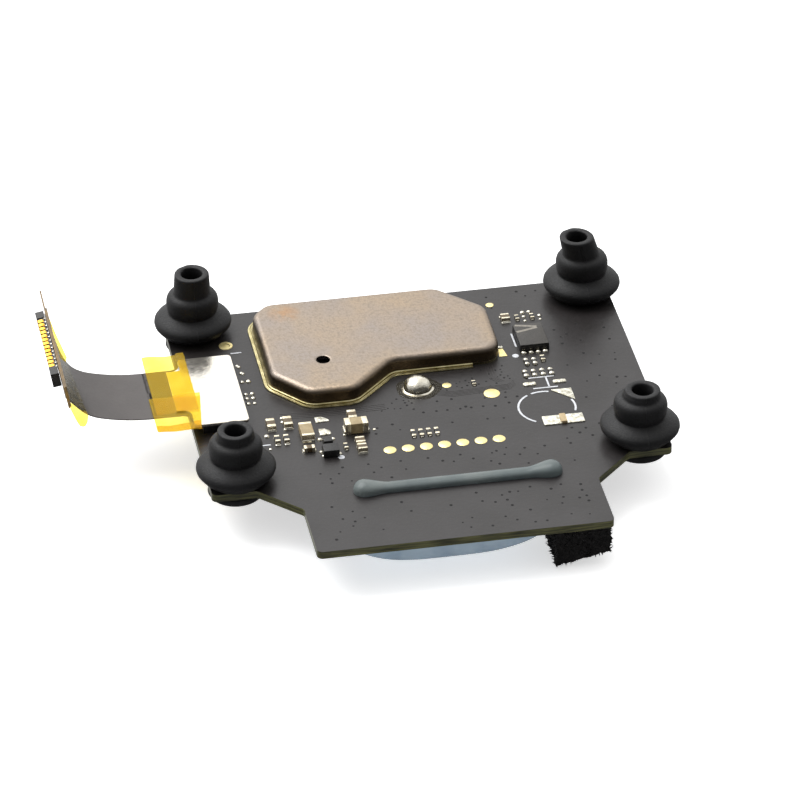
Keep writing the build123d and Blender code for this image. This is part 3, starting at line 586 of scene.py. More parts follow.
def solder():
    """Hand-made joint at the can's corner, and machine-made lands and balls."""
    shape = bmesh.new()
    wide, tall = 1.42, 1.12

    def facets(angle, radius, z):
        """Slight flats, as cold solder has, growing with height."""
        flat = 0.05 * math.cos(3 * angle + 0.6) + 0.03 * math.cos(7 * angle)
        return 0.0, 0.0, flat * radius * (0.4 + 0.4 * z)

    turns = [math.pi / 2 * k / 14 for k in range(14)]
    dome = [(wide * math.cos(t), tall * math.sin(t) ** 0.92 + 0.1) for t in turns]
    add_lathe(shape, [(1.62, 0.0), (1.5, 0.06)] + dome, (0.25, -1.05), circle(48), facets)
    finish_piece("solder_joint", shape, [SOLDER], "board", ["solder_blob"])
    shape = bmesh.new()
    puddle = [(2.15, 0.0), (2.05, 0.06), (1.9, 0.09), (1.7, 0.1), (1.5, 0.08), (1.5, 0.0)]
    add_lathe(shape, puddle + puddle[:1], (0.35, -1.15), circle(48),
              lambda angle, radius, z: (0, 0, 0.12 * math.cos(2 * angle) + 0.08 * math.cos(5 * angle)))
    finish_piece("flux_ring", shape, [FLUX], "board")

    ball = disc_item("ball", 0.24, 0.16, 12, True)
    spots = [(x, y) for y in (3.17, 0.9, 0.1, -0.82) for x in (-16.68, -16.06)]
    spots += [(13.31, 10.67), (13.97, 10.7), (13.29, 9.88), (13.28, 9.1), (14.9, 9.85), (14.86, 9.15)]
    spots += [(11.04, 10.2), (11.7, 10.2), (-16.7, 6.2), (-16.55, 5.95), (-16.5, 4.8), (-16.35, 4.65)]
    spots += [(-13.9, -4.0), (-13.1, -3.9), (-13.95, -4.7), (-13.9, -6.0), (-8.35, -8.0), (-10.9, -8.4)]
    spots += [(-9.6, -8.5), (-11.1, -10.6), (-11.0, -11.3), (-9.4, -11.2), (-5.3, -7.6), (-15.9, -6.9)]
    places = [(x, y, 0) for x, y in [*spots, (-15.9, -9.2)]]
    grow("solder_balls", SPOTS, ball, SOLDER, "board", "solder", (places, []), Least=0.7, Most=1.25, Seed=5)
    domes = [(11.93 + 0.72 * i, 3.24, 0.02) for i in range(4)]
    domes += [(x, y, 0.1) for x in (11.82, 12.62) for y in (1.12, 1.86)]
    domes += [(11.28 + 0.86 * i, y, 0.1) for i in range(4) for y in (-1.02, -0.26)]
    grow("solder_domes", SPOTS, ball, SOLDER, "board", "solder", (domes, []), Least=1.1, Most=1.3, Seed=6)
    drop(ball)
    shape = bmesh.new()
    land = [(-10.75, -5.45), (-9.35, -5.35), (-9.5, -4.95), (-10.1, -4.45), (-10.75, -4.5)]
    add_slab(shape, land, 0, 0.1, 0.1, 0.06)
    land = [(-10.75, -7.75), (-9.6, -7.7), (-9.6, -7.1), (-10.1, -6.65), (-10.75, -6.6)]
    add_slab(shape, land, 0, 0.12, 0.12, 0.08)
    for x in (11.3, 14.35):
        add_slab(shape, rectangle(x, -2.5, 1.35, 0.6), 0, 0.14, 0.2, 0.12)
    for x in (12.15, 14.4):
        add_slab(shape, rectangle(x, -9.3, 1.85, 1.55), 0, 0.12, 0.1, 0.06)
    add_slab(shape, [(13.1, -3.9), (15.2, -6.0), (15.2, -3.9)], 0, 0.08, 0.05, 0.03)
    add_slab(shape, rectangle(9.8, 4.65, 0.5, 0.4), 0, 0.12, 0.12, 0.08)
    finish_piece("tinned_lands", shape, [LAND], "board", ["solder_lands"])


# ---- chip parts ------------------------------------------------------------------------

# Each part: middle x and y, length, width, height, whether it lies along Y, and an end's share of the length.
LARGE = [(-12.0, -7.3, 2.4, 1.25, 0.75, True, 0.16), (-7.1, -7.4, 2.3, 1.25, 1.15, False, 0.26)]
MEDIUM = [(-15.2, -5.2, 1.5, 0.85, 0.5, True, 0.3), (-13.5, -5.1, 1.5, 0.85, 0.5, True, 0.3)]
MEDIUM += [(-7.1, -5.1, 1.4, 0.85, 0.5, True, 0.3), (-7.1, -9.7, 1.0, 0.9, 0.5, True, 0.3)]
MEDIUM += [(-7.1, -10.9, 1.0, 0.9, 0.5, True, 0.3), (11.35, 9.75, 0.95, 0.85, 0.45, True, 0.28)]
MEDIUM += [(-12.2, -10.1, 1.1, 0.6, 0.5, False, 0.3)]
TINY = [(-15.0, -7.9, 1.1, 0.5, 0.4, True, 0.28), (-14.1, -7.9, 1.1, 0.5, 0.4, True, 0.28)]
TINY += [(-8.6, -10.2, 0.9, 0.4, 0.3, True, 0.28)]
TINY += [(x, 9.7, 0.8, 0.4, 0.25, True, 0.28) for x in (12.56, 14.1)]
TINY += [(13.55, 1.85, 0.85, 0.45, 0.25, True, 0.28)]
TINY += [(x, 1.5, 0.95, 0.42, 0.2, True, 0.28) for x in (11.82, 12.62)]
TINY += [(5.9, -1.3, 0.7, 0.4, 0.2, True, 0.28)]
TINY += [(11.28 + 0.86 * i, -0.63, 1.05, 0.45, 0.2, True, 0.3) for i in range(4)]
TINY += [(-1.7 + 0.78 * i, -9.1, 1.15, 0.42, 0.2, True, 0.3) for i in range(4)]


def add_chip(shape, x, y, length, width, height, along_y, share):
    """Layered chip: ceramic middle, dipped ends that stand a little proud, and solder at each foot."""
    cap = length * share

    def across(shift, size_along, size_across):
        if along_y:
            return rectangle(x, y + shift, size_across, size_along)
        return rectangle(x + shift, y, size_along, size_across)

    add_slab(shape, across(0, length - 1.6 * cap, width), 0.03, height, 0.04, 0.03)
    for side in (-1, 1):
        end = across(side * (length - cap) / 2, cap, width + 0.04)
        add_slab(shape, end, 0.02, height + 0.02, 0.07, 0.07, finish=1)
        joint = across(side * (length / 2 + 0.02), 0.34, width * 1.06)
        add_slab(shape, joint, 0, height * 0.3, 0.1, 0.09, 0.06, finish=2)


def chips():
    """Capacitors, resistors, driver and sensor on the top face."""
    groups = [("large_capacitor", LARGE, CERAMIC), ("small_capacitor", MEDIUM, BROWN_CERAMIC)]
    groups += [("chip_resistor", TINY, EPOXY)]
    for kind, parts, middle in groups:
        shape = bmesh.new()
        for part in parts:
            add_chip(shape, *part)
        finish_piece(kind + "s", shape, [middle, CHIP_END, SOLDER], "board",
                     [kind + "_bodies", kind + "_ends"])
    shape = bmesh.new()
    add_slab(shape, rectangle(13.25, -9.3, 0.62, 1.45), 0.02, 0.32, 0.08, 0.08)
    finish_piece("link_over_lands", shape, [PALE_CERAMIC], "board", ["bridge_link"])

    shape = bmesh.new()
    add_slab(shape, rectangle(13.1, 5.5, 3.0, 4.0), 0.05, 0.75, 0.06, 0.04, 0.04)
    bmesh.ops.recalc_face_normals(shape, faces=shape.faces)
    # The faces that point up take the painted sheen.
    for face in shape.faces:
        face.material_index = 1 if face.normal.z > 0.9 else 0
    for start, end, top in (((11.82, 7.3), (13.95, 6.78), 0.755), ((11.76, 6.05), (13.95, 6.6), 0.757)):
        add_stroke(shape, [start, end], 0.3, 0.74, top, 2)
    finish_piece("driver_package", shape, [EPOXY, EPOXY_TOP, MARK], "board", ["driver_chip"],
                 crease=25)
    bent = [(-0.35, 0.02), (-0.03, 0.03), (0.07, 0.12), (0.11, 0.3), (0.27, 0.36)]
    section = [(-0.13, -0.03), (0.13, -0.03), (0.13, 0.05), (-0.13, 0.05)]
    sides = [("front", -1, ["driver_chip_leads"], 11.95, 3.6, 0.72), ("rear", 1, [], 11.975, 7.25, 0.75)]
    for side, sign, nodes, x, y, pitch in sides:
        shape = bmesh.new()
        add_rings(shape, [[(across, sign * d, z + lift) for across, lift in section] for d, z in bent])
        lead = item_from("lead", shape)
        grow("driver_leads_" + side, ROW, lead, SOLDER, "board", "solder", nodes=nodes, Count=4,
             Start=(x * MM, y * MM, 0), Step=(pitch * MM, 0, 0))
        drop(lead)

    packages = [("sensor_package", "sensor_chip", (-10.25, -11.0, 1.6, 1.4), (0.06, 0.8, 0.08, 0.05, 0.03))]
    packages += [("diode_package", "diode", (-10.2, -9.1, 1.0, 0.8), (0.04, 0.45, 0.1, 0.08, 0.05))]
    for name, node, plan, heights_and_edges in packages:
        shape = bmesh.new()
        add_slab(shape, rectangle(*plan), *heights_and_edges)
        finish_piece(name, shape, [EPOXY], "board", [node])


# ---- shield can ------------------------------------------------------------------------

CAN = [(-14.1, 1.5), (-10.8, -2.4), (-6.2, -2.4), (-1.8, 2.0), (9.4, 2.0)]
CAN += [(9.4, 10.1), (5.0, 14.5), (-12.5, 14.5), (-14.1, 12.7)]
CAN_HEIGHT, CAN_WALL, CAN_CORNER, CAN_FOOT, CAN_BEND = 1.8, 0.15, 1.9, 0.28, 0.6
VENT_X, VENT_Y, VENT_RADIUS = -8.5, 3.1, 0.7
LIP_END_X = 6.4


def fill_between(shape, outer, inner):
    """Flat face with a hole, from two closed rings of points that already belong to the shape."""
    pairs = [(ring[i - 1], ring[i]) for ring in (outer, inner) for i in range(len(ring))]
    edges = [shape.edges.get(pair) or shape.edges.new(pair) for pair in pairs]
    bmesh.ops.triangle_fill(shape, use_beauty=True, use_dissolve=False, edges=edges)


def shield_can():
    """Drawn cover with a soft edge and a vent, pressed over the frame soldered to the board."""
    shape = bmesh.new()
    levels = [(-0.02, CAN_FOOT), (0.0, CAN_FOOT + 0.08), (0.03, CAN_HEIGHT - CAN_BEND)]
    for k in range(1, 8):
        turn = math.pi / 2 * k / 7
        levels.append((0.03 + CAN_BEND * (1 - math.cos(turn)), CAN_HEIGHT - CAN_BEND * (1 - math.sin(turn))))
    levels.append((CAN_BEND + 0.12, CAN_HEIGHT))
    outside = [[(*p, z) for p in outline(CAN, CAN_CORNER, inset, 7)] for inset, z in levels]
    inside = [[(*p, z) for p in outline(CAN, CAN_CORNER, inset + CAN_WALL, 7)]
              for inset, z in ((0, CAN_FOOT), (0, CAN_HEIGHT - 0.5), (0.35, CAN_HEIGHT - CAN_WALL))]
    outer = add_rings(shape, outside, caps=(False, False))
    inner = add_rings(shape, inside[::-1], caps=(False, False))
    for i in range(len(outer[0])):
        shape.faces.new((outer[0][i - 1], outer[0][i], inner[-1][i], inner[-1][i - 1]))
    hole = [(VENT_RADIUS + 0.2, CAN_HEIGHT), (VENT_RADIUS + 0.05, CAN_HEIGHT)]
    hole += [(VENT_RADIUS, CAN_HEIGHT - 0.04), (VENT_RADIUS, CAN_HEIGHT - CAN_WALL)]
    hole = [[(VENT_X + r * math.cos(t), VENT_Y + r * math.sin(t), z) for t in circle(28)] for r, z in hole]
    hole = add_rings(shape, hole, caps=(False, False))
    fill_between(shape, outer[-1], hole[0])
    fill_between(shape, inner[0], hole[-1])
    finish_piece("shield_cover_drawn", shape, [SHIELD], "board", ["shield_cover"], crease=50)

    shape = bmesh.new()
    # The lip stands out from the cover up to LIP_END_X, and is tucked under it beyond.
    lip = [(-0.5, 0.0), (-0.53, 0.09), (-0.5, 0.15), (-0.34, 0.17), (-0.3, 0.1), (-0.24, 0.12), (-0.22, 0.3)]
    lip += [(-0.14, 0.36), (-0.02, 0.34), (0.05, 0.24), (0.6, 0.2), (0.6, 0.0)]
    path = CAN[:4] + [(LIP_END_X, CAN[4][1]), (LIP_END_X + 0.08, CAN[4][1])] + CAN[4:]
    rings = []
    for inset, z in lip:
        full, tucked = (outline(path, CAN_CORNER, way_in, 7) for way_in in (inset, max(inset, 0.05)))
        pairs = zip(full, tucked)
        rings.append([(*b, min(z, 0.24)) if b.x > LIP_END_X + 0.04 else (*a, z) for a, b in pairs])
    add_rings(shape, rings + rings[:1], caps=(False, False))
    finish_piece("shield_frame_strip", shape, [RIM], "board", ["shield_frame"], crease=40)


# ---- rubber dampers --------------------------------------------------------------------

# Outline of the moulding from the foot up: radius and height.
FOOT = [(1.2, -1.68), (2.2, -1.68), (2.64, -1.54), (2.78, -1.3), (2.72, -1.0), (2.5, -0.86), (1.95, -0.84)]
SKIRT = [(1.9, -0.6), (1.9, 0.0), (1.95, 0.03), (2.75, 0.03), (3.0, 0.12), (3.3, 0.42), (3.62, 0.8)]
SKIRT += [(3.82, 1.08), (3.88, 1.3), (3.85, 1.52), (3.68, 1.76), (3.34, 2.0), (2.94, 2.22)]
BULB = [(2.62, 2.38), (2.48, 2.46), (2.43, 2.54), (2.46, 2.64), (2.54, 2.84), (2.6, 3.14), (2.62, 3.46)]
BULB += [(2.61, 3.8), (2.54, 4.1), (2.4, 4.34), (2.2, 4.5), (2.0, 4.6), (1.89, 4.68), (1.85, 4.78)]
NOSE_FOOT_Z, LEAN_FROM_Z, MOUTH_HEIGHT = 4.9, 4.4, 0.2
SEAMS = (-math.pi / 2, math.pi / 2)


def damper(name, side_x, side_y, top, lean, nick):
    """Hollow bellows moulding: foot under the board, skirt, bulb, nose and bore, with its parting line."""
    rise = top - MOUTH_HEIGHT - NOSE_FOOT_Z
    nose = [(1.84 - 0.1 * k / 4, NOSE_FOOT_Z + rise * k / 4) for k in range(5)]
    mouth = [(1.73, top - 0.12), (1.67, top - 0.03), (1.56, top)]
    mouth += [(1.22, top), (1.1, top - 0.06), (1.04, top - 0.16)]
    bore = [(1.02, top - 1.2), (1.0, top - 3.2), (0.9, top - 3.5)]
    angles = circle(72)
    for seam in SEAMS:
        angles += [seam % (2 * math.pi) + d for d in (-0.024, -0.012, 0.012, 0.024)]
    angles.sort()

    def move(angle, radius, z):
        """Lean of the nose, a ridge on the parting line, a faint unevenness and a nick in the mouth."""
        shift = lean * max(z - LEAN_FROM_Z, 0.0)
        from_seam = min(abs((angle - seam + math.pi) % (2 * math.pi) - math.pi) for seam in SEAMS)
        ridge = 0.055 if from_seam < 0.005 and radius > 1.5 and z > 0.1 else 0.0
        wobble = 0.012 * radius * math.cos(2 * angle + side_x)
        wobble += 0.008 * radius * math.cos(3 * angle + side_y)
        cut = -nick * math.exp(-(((angle - 2.0) / 0.16) ** 2)) if z > top - 0.12 and radius > 1.15 else 0.0
        return shift, 0.0, ridge + wobble + cut

    x, y = side_x * DAMPER_X, side_y * DAMPER_Y
    shape = bmesh.new()
    add_lathe(shape, FOOT + SKIRT + BULB + nose + mouth + bore, (x, y), angles, move)
    bend = (name + "_nose", (x, y, 0.6), (x, y, top - 0.4))
    finish_piece(name + "_moulding", shape, [RUBBER], "board", [name], bend, crease=60)


def dampers():
    """The rear two stand free, and the front two are pushed in; two lean."""
    damper("damper_rear_left", -1, 1, 6.85, 0.0, 0.1)
    damper("damper_rear_right", 1, 1, 6.7, -0.26, 0.08)
    damper("damper_front_left", -1, -1, 5.6, 0.0, 0.05)
    damper("damper_front_right", 1, -1, 5.4, 0.2, 0.05)


# ---- silicone pad and foam -------------------------------------------------------------

RIB_Y = -18.1


def add_rib(shape):
    """Long rib on the board, whose round ends are swollen and stand taller."""
    left, right, swell, band, height, stations = -9.3, 11.3, 1.12, 0.7, 0.66, 64
    rows = []
    for i in range(stations + 1):
        x = left + (right - left) * (0.5 - 0.5 * math.cos(math.pi * i / stations))
        gap = min(x - left, right - x)
        round_end = math.sqrt(max(swell**2 - max(swell - gap, 0) ** 2, 0.0004))
        ease = min(max((gap - swell) / 2.2, 0.0), 1.0)
        half = round_end + (band - swell) * ease * ease * (3 - 2 * ease)
        tall = height * min(1.0, (round_end / swell) ** 0.8) * (1 + 0.6 * (1 - ease))
        ring = []
        for k in range(13):
            turn = math.pi * k / 12
            lift = tall * math.sin(turn) ** 0.55 if 0 < k < 12 else 0.0
            ring.append((x, RIB_Y + 0.12 * (1 - ease) - half * math.cos(turn), 0.02 + lift))
        rows.append(ring)
    add_rings(shape, rows)


def add_cushion(shape):
    """Crowned cushion under the front tongue, in the second finish, flat where it meets the board."""
    centre_x, centre_y, half_x, half_y, deep = -1.2, -22.1, 9.75, 4.35, 3.05
    columns, lines = 48, 24
    grid = []
    for j in range(lines + 1):
        v = -1 + 2 * j / lines
        row = []
        for i in range(columns + 1):
            u = -1 + 2 * i / columns
            swollen = max(1 - abs(u) ** 3.4, 0.0) ** 0.8 * max(1 - abs(v) ** 6, 0.0) ** 0.6
            place = (centre_x + half_x * u, centre_y + half_y * v, -0.84 - deep * swollen)
            row.append(shape.verts.new(place))
        grid.append(row)
    for j in range(lines):
        for i in range(columns):
            face = shape.faces.new((grid[j][i], grid[j][i + 1], grid[j + 1][i + 1], grid[j + 1][i]))
            # The cushion takes the copy with painted light.
            face.material_index = 1
    rim = grid[0] + [row[-1] for row in grid[1:]] + grid[-1][-2::-1] + [row[0] for row in grid[-2:0:-1]]
    shape.faces.new(rim)


def silicone():
    """One casting: rib on top with swollen ends, web through the slot, cushion below."""
    shape = bmesh.new()
    add_rib(shape)
    web = outline(rectangle(-1.2, RIB_Y, 13.9, 1.1), 0.54)
    add_rings(shape, [[(*p, z) for p in web] for z in (0.05, -0.85)])
    add_cushion(shape)
    finish_piece("silicone_casting", shape, [SILICONE, CUSHION], "board", ["silicone_pad"],
                 crease=45)


def foam():
    """Cut block of open-cell foam with torn cells standing out as short bristles."""
    low, high = ([v / MM for v in corner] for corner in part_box("foam_block"))
    centre = [(a + b) / 2 for a, b in zip(low, high)]
    half = [(b - a) / 2 - 0.12 for a, b in zip(low, high)]
    shape = bmesh.new()
    bmesh.ops.create_cube(shape, size=2.0)
    bmesh.ops.subdivide_edges(shape, edges=shape.edges[:], cuts=15, use_grid_fill=True)
    for vert in shape.verts:
        u, v, w = vert.co
        rough = 0.1 * math.sin(9 * u + 4 * v) * math.sin(8 * v + 5 * w)
        rough += 0.06 * math.sin(23 * u + 17 * w + 11 * v)
        rough = rough if w <= 0.99 else 0.0  # the face on the board stays flat
        vert.co = [c + s * d * (1 + rough * 0.35) for c, s, d in zip(centre, half, (u, v, w))]
        depth = high[2] - vert.co.z
        vert.co.z = high[2] - depth * (0.76 - 0.14 * u - 0.05 * v)  # cut thinner to the right
    shape.verts.index_update()
    points = [tuple(v.co) for v in shape.verts]
    ground = (points, [tuple(v.index for v in f.verts) for f in shape.faces if f.normal.z < 0.8])
    block = finish_piece("foam_cut_block", shape, [FOAM], "board", ["foam_block"], crease=60)
    shape = bmesh.new()
    add_lathe(shape, [(0.09, -0.05), (0.05, 0.18), (0.015, 0.34)], (0, 0), circle(5))
    bristle = item_from("bristle", shape)
    grow("foam_torn_cells", SCATTER, bristle, FOAM, "board", "foam", ground, Spacing=0.22 * MM,
         Density=12000000.0, Least=0.4, Most=1.1, Seed=3)
    drop(bristle)


# ---- flexible lead ---------------------------------------------------------------------


def lead_point(s, across):
    """Point on the middle surface of the free lead, s millimetres from the tape."""
    turn = min(max(s, 0.0), RISE_LENGTH) / RISE_RADIUS
    x = LEAD_START_X - min(s, 0.0) - RISE_RADIUS * math.sin(turn)
    z = LEAD_Z + RISE_RADIUS * (1 - math.cos(turn))
    if s > RISE_LENGTH:
        end = RISE_TURN + min(s - RISE_LENGTH, FOLD_LENGTH) / FOLD_RADIUS
        x -= FOLD_RADIUS * (math.sin(end) - math.sin(RISE_TURN))
        z += FOLD_RADIUS * (math.cos(RISE_TURN) - math.cos(end))
    return (x, LEAD_Y + across, z)


def head_flat(along, up, out=0.0):
    """Point on the upright lead: along the board's Y, up the lead, and out towards the board."""
    x, _, z = lead_point(RISE_LENGTH + FOLD_LENGTH, 0)
    return (x - up * math.sin(HEAD_LEAN) + out * math.cos(HEAD_LEAN), LEAD_Y + along,
            z + up * math.cos(HEAD_LEAN) + out * math.sin(HEAD_LEAN))


def head_point(along, up, out=0.0):
    """The same, in the axes of the plug, which is turned on the lead."""
    c, s = math.cos(HEAD_TILT), math.sin(HEAD_TILT)
    return head_flat(along * c - up * s, -1.7 + along * s + up * c, out)


def lead():
    """Free stretch of the flexible circuit, in two pieces that meet; the far one curves on into the fold."""
    lines = [-1 + 2 * j / 12 for j in range(13)]
    tucked, meet, straight = 0.4, 3.0, 2.0

    def row(s):
        return [lead_point(s, LEAD_WIDTH / 2 * t) for t in lines]

    shape = bmesh.new()
    add_sheet(shape, [row(-tucked + (meet + tucked) * i / 16) for i in range(17)], LEAD_THICKNESS)
    finish_piece("lead_near_board", shape, [COVERLAY], "board", [],
                 ("flex_strip", (LEAD_START_X, LEAD_Y, LEAD_Z), (LEAD_START_X - 2.6, LEAD_Y, LEAD_Z + 0.2)))
    rows = [row(meet + straight * i / 5) for i in range(5)]
    start = meet + straight
    crease = [Vector(p) for p in ((-33.15, -3.28, 2.45), (-34.2, 4.92, 3.35))]
    for i in range(25):
        u = i / 24
        line = []
        for t in lines:
            share = (t + 1) / 2
            low = Vector(lead_point(start, LEAD_WIDTH / 2 * t))
            ahead = (Vector(lead_point(start + 0.01, LEAD_WIDTH / 2 * t)) - low).normalized()
            fold_at = crease[0].lerp(crease[1], share)
            high = Vector(head_point(-4.25 + 12.0 * share**1.25, 4.2 - 0.6 * share))
            handle_a = low + ahead * (fold_at - low).length * 0.95
            handle_b = fold_at.lerp(high, 0.12)
            curve = low * (1 - u) ** 3 + handle_a * 3 * u * (1 - u) ** 2
            line.append(curve + handle_b * 3 * u * u * (1 - u) + high * u**3)
        rows.append(line)
    shape = bmesh.new()
    add_sheet(shape, rows, LEAD_THICKNESS, change=15)
    finish_piece("lead_over_fold", shape, [COVERLAY, TAPED_FOLD], "flex_strip",
                 ["flex_strip"], ("flex_head", (-32.2, LEAD_Y, 2.0), (-35.0, LEAD_Y, 4.2)))


def head():
    """Stiffened end of the lead with its plug, contacts and loose tape."""
    alongs = [-4.4 + 13.2 * i / 14 for i in range(15)]
    circuit = [[head_point(along, up, 0.1) for up in (2.75, 3.5, 4.3, 5.1, 5.85)] for along in alongs]
    alongs = [-4.3, -1.5, 1.5, 4.5, 6.4]
    plate = [[head_point(along, up, 0.24) for up in (2.8, 3.6, 4.4, 5.2, 5.8)] for along in alongs]
    layers = [("head_circuit", circuit, "flex_polyimide", "flex_head")]
    layers += [("head_stiffening_plate", plate, "stiffener_plate", "head_stiffener")]
    for name, grid, slot, node in layers:
        shape = bmesh.new()
        add_sheet(shape, grid, 0.16)
        finish_piece(name, shape, [AMBER_CORE], "flex_head", [node])
    shape = bmesh.new()
    flag = [[(-35.35, 5.7, 8.2), (-35.25, 5.7, 7.6), (-35.0, 5.65, 6.85)],
            [(-35.2, 3.6, 7.5), (-34.85, 3.7, 6.9), (-34.6, 3.7, 6.4)],
            [(-35.0, 1.7, 6.9), (-34.55, 1.75, 6.4), (-34.25, 1.6, 6.05)],
            [(-34.95, 0.8, 6.6), (-34.6, 0.8, 6.2), (-34.45, 0.85, 6.0)]]
    add_sheet(shape, flag, TAPE_THICKNESS)
    finish_piece("head_tape_upper", shape, [TAPE], "flex_head", ["head_tape"])
    shape = bmesh.new()
    flag = [[(-35.0, -3.5, 4.45), (-34.0, -3.45, 3.4), (-33.05, -3.35, 2.7)],
            [(-34.65, -4.3, 3.6), (-33.8, -4.1, 2.95), (-32.98, -3.8, 2.55)],
            [(-34.2, -4.9, 2.65), (-33.6, -4.75, 2.35), (-33.15, -4.4, 2.2)],
            [(-33.95, -5.1, 2.3), (-33.65, -5.05, 2.15), (-33.4, -4.85, 2.1)]]
    add_sheet(shape, flag, TAPE_THICKNESS)
    finish_piece("head_tape_lower", shape, [TAPE], "flex_head")

    middle, up, width, depth, length, face = 2.68, 3.88, 1.9, 0.85, 8.4, -0.08
    shape = bmesh.new()

    def ring_at(along, inset):
        low, high, far = up - (width / 2 - inset), up + (width / 2 - inset), face - depth + inset
        return [head_point(along, u, o) for u, o in ((low, face), (high, face), (high, far), (low, far))]

    front, rear = middle - length / 2, middle + length / 2 + 0.2
    steps = [(front, 0.06), (front + 0.06, 0.0), (front + 1.15, 0.0), (front + 1.2, 0.08)]
    steps += [(rear - 0.95, 0.08), (rear - 0.9, 0.0), (rear - 0.06, 0.0), (rear, 0.06)]
    add_rings(shape, [ring_at(along, inset) for along, inset in steps])
    finish_piece("plug_housing", shape, [PLASTIC], "flex_head", ["head_plug"])

    first = middle + length / 2 - 1.13
    origin = Vector(head_point(0, 0))
    ahead = (Vector(head_point(1, 0)) - origin).normalized()
    upward = (Vector(head_point(0, 1)) - origin).normalized()
    outward = ahead.cross(upward)

    def local(a, u, o):
        return tuple(ahead * a + upward * u + outward * o)

    shape = bmesh.new()
    line = [(-0.1, -0.3), (0.03, -0.36), (0.06, -0.55), (0.05, -0.84), (-0.08, -0.91), (-0.35, -0.91)]
    section = ((-0.16, 0), (0.16, 0), (0.16, -0.06), (-0.16, -0.06))
    add_rings(shape, [[local(a, u + d, o - d) for a, d in section] for u, o in line])
    contact = item_from("contact", shape)
    begin = Vector(head_point(first, up + width / 2 - 0.04))
    grow("plug_contacts", ROW, contact, CONTACT, "flex_head", "gold", nodes=["head_contacts"],
         Count=CONTACT_COUNT, Start=tuple(begin * MM), Step=tuple(-ahead * CONTACT_PITCH * MM))
    drop(contact)
    shape = bmesh.new()
    section = ((-1, -0.08), (1, -0.08), (1, 0.05), (-1, 0.05))
    add_rings(shape, [[local(side * half, u, o) for side, o in section]
                      for half, u in ((0.07, -0.2), (0.07, 0.0), (0.03, 0.04))])
    tail = item_from("tail", shape)
    begin = Vector(head_point(first + 0.25, up + width / 2 - 0.02, -0.12))
    grow("plug_solder_tails", ROW, tail, SOLDER, "flex_head", "solder", nodes=["head_solder_tails"],
         Count=CONTACT_COUNT + 1, Start=tuple(begin * MM), Step=tuple(-ahead * CONTACT_PITCH * MM))
    drop(tail)


def lie(x, y, lift):
    """Height of tape at a place: over the plate, down to the lead, and a little loose beyond its sides."""
    tongue_x, tongue_front, tongue_rear, plate_x = -24.1, -2.93, 4.57, -22.75
    over = min(max((x - tongue_x + 0.15) / 0.3, 0.0), 1.0) if tongue_front < y < tongue_rear else 0.0
    if x > plate_x:
        over = 1.0
    loose = 0.05 * math.sin(1.9 * x + 0.8 * y) + 0.04 * math.sin(2.7 * y - x)
    off_lead = max(y - 5.0, 0.0) + max(-3.4 - y, 0.0)
    return LEAD_Z + 0.1 + 0.2 * over + lift + loose * 0.35 * (1 + off_lead)


def strip(name, x_left, x_right, front, rear, lift, ragged, skew, nodes, finish=TAPE):
    """Strip of tape laid across the lead, with a torn right edge, and its front end skewed."""
    shape = bmesh.new()
    rows = []
    for i in range(25):
        x = x_left + (x_right - x_left) * i / 24
        line = []
        for j in range(33):
            y = front + (rear - front) * j / 32
            slant = skew * (1 - j / 32) * i / 24
            edge = ragged * math.sin(5.0 * y) * max(i / 24 - 0.9, 0.0) - slant
            line.append((x + edge, y - 0.5 * slant, lie(x, y, lift)))
        rows.append(line)
    add_sheet(shape, rows, TAPE_THICKNESS)
    finish_piece(name, shape, [finish], "board", nodes)


def taped_end():
    """Two strips of tape that hold the polished plate to the lead, and one doubled end."""
    strip("tape_rear_strip", -26.1, -21.9, -2.9, 7.5, 0.05, 0.25, 0.0, ["tape_rear"])
    strip("tape_front_strip", -26.5, -21.4, -6.0, -0.1, 0.12, 0.15, 0.8, ["tape_front"])
    strip("tape_front_fold", -26.45, -22.1, -6.3, -5.15, 0.2, 0.1, 0.1, [], TAPE_FOLD)


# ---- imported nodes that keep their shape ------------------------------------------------


def dress(finish, *nodes):
    """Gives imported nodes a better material."""
    for name in nodes:
        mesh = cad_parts[name].data
        mesh.materials.clear()
        mesh.materials.append(finish)


def dress_nodes():
    """The board, and what is under it or covered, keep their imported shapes."""
    dress(MASK, "circuit_board")
    dress(EPOXY, "processor_chip", "memory_chip", "barometer_chip", "motor_driver_chip", "radio_chip",
          "motion_sensor_chip", "regulator_coil", "power_coils")
    dress(GEL, "thermal_pad")
    dress(SOLDER, "clock_crystal", "flex_socket_leads")
    dress(PLASTIC, "flex_socket", "flex_plug", "signal_socket", "power_socket")
    dress(CONTACT, "signal_socket_contacts", "power_socket_contacts")
    dress(SHIELD, "lower_shield_cover")
    dress(RIM, "lower_shield_frame")
    dress(COVERLAY, "flex_tail")
    dress(STIFFENER, "flex_plate")


# ---- table, light and camera -----------------------------------------------------------


def table():
    """White card under the part."""
    shape = bmesh.new()
    add_rings(shape, [[(*p, z) for p in rectangle(0, 0, 3000, 3000)] for z in (TABLE_Z - 5, TABLE_Z)])
    glow = {"Emission_Color": linear("#ffffff"), "Emission_Strength": 0.58}
    # Backlit white card: matt and even, so only soft shadows show on it.
    card = plain_finish("backlit_white_card", "#f7f7f7", "#fafafa", 40.0, (0.8, 0.9), 3.0, 0.0, **glow)
    made = finish_piece("table", shape, [card], None)
    made.visible_glossy = False


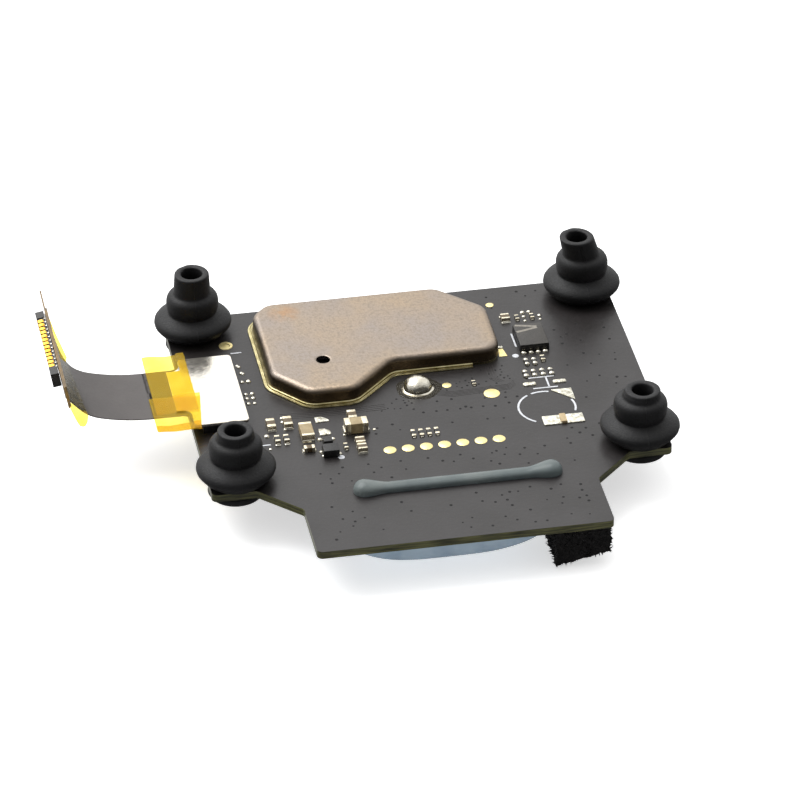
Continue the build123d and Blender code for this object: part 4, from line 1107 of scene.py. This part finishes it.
def softbox(name, place, size, power):
    """Round soft light aimed at the middle of the board; metres and watts."""
    made = bpy.data.lights.new(name, "AREA")
    made.shape, made.size, made.energy = "DISK", size, power
    obj = bpy.data.objects.new(name, made)
    obj.location = place
    obj.rotation_euler = (-Vector(place)).to_track_quat("-Z", "Y").to_euler()
    bpy.context.scene.collection.objects.link(obj)


def light():
    """White surroundings, brightest above and behind the board, and one soft light from the rear."""
    scene = bpy.context.scene
    scene.view_settings.view_transform = "Standard"
    world = scene.world or bpy.data.worlds.new("World")
    scene.world = world
    world.use_nodes = True
    world.node_tree.nodes.clear()
    tree = world.node_tree
    way = put(tree, "ShaderNodeTexCoord").outputs["Generated"]
    lean = put(tree, "ShaderNodeVectorMath", {"operation": "DOT_PRODUCT"}, {0: way, 1: (-0.04, 0.6, 0.45)})
    fade = {"From Min": -0.16, "From Max": 0.72, "To Min": 0.09, "To Max": 1.38}
    fade = put(tree, "ShaderNodeMapRange", {}, {**fade, "Value": lean.outputs["Value"]}).outputs["Result"]
    sky = put(tree, "ShaderNodeBackground", {}, {"Color": linear("#ffffff"), "Strength": fade})
    put(tree, "ShaderNodeOutputWorld", {}, {"Surface": sky.outputs[0]})
    softbox("softbox_rear", (-0.25, 0.3, 0.6), 0.65, 3.8)


def camera():
    """Long lens from the front, a little to the left and above."""
    turn, tilt = math.radians(-10.732), math.radians(33.188)
    distance, shift_right, shift_up = 545.767, -1.2873, -1.7364
    back = Vector((math.sin(turn) * math.cos(tilt), -math.cos(turn) * math.cos(tilt), math.sin(tilt)))
    right = Vector((math.cos(turn), math.sin(turn), 0))
    up = back.cross(right)
    made = bpy.data.cameras.new("camera")
    made.sensor_width, made.lens = 36.0, 247.31
    made.clip_start, made.clip_end = 0.01, 20.0
    obj = bpy.data.objects.new("camera", made)
    place = (right * shift_right + up * shift_up + back * distance) * MM
    obj.matrix_world = Matrix.Translation(place) @ Matrix((right, up, back)).transposed().to_4x4()
    bpy.context.scene.collection.objects.link(obj)
    bpy.context.scene.camera = obj


camera()
light()
table()
dress_nodes()
laminate()
solder()
chips()
shield_can()
dampers()
silicone()
foam()
lead()
head()
taped_end()
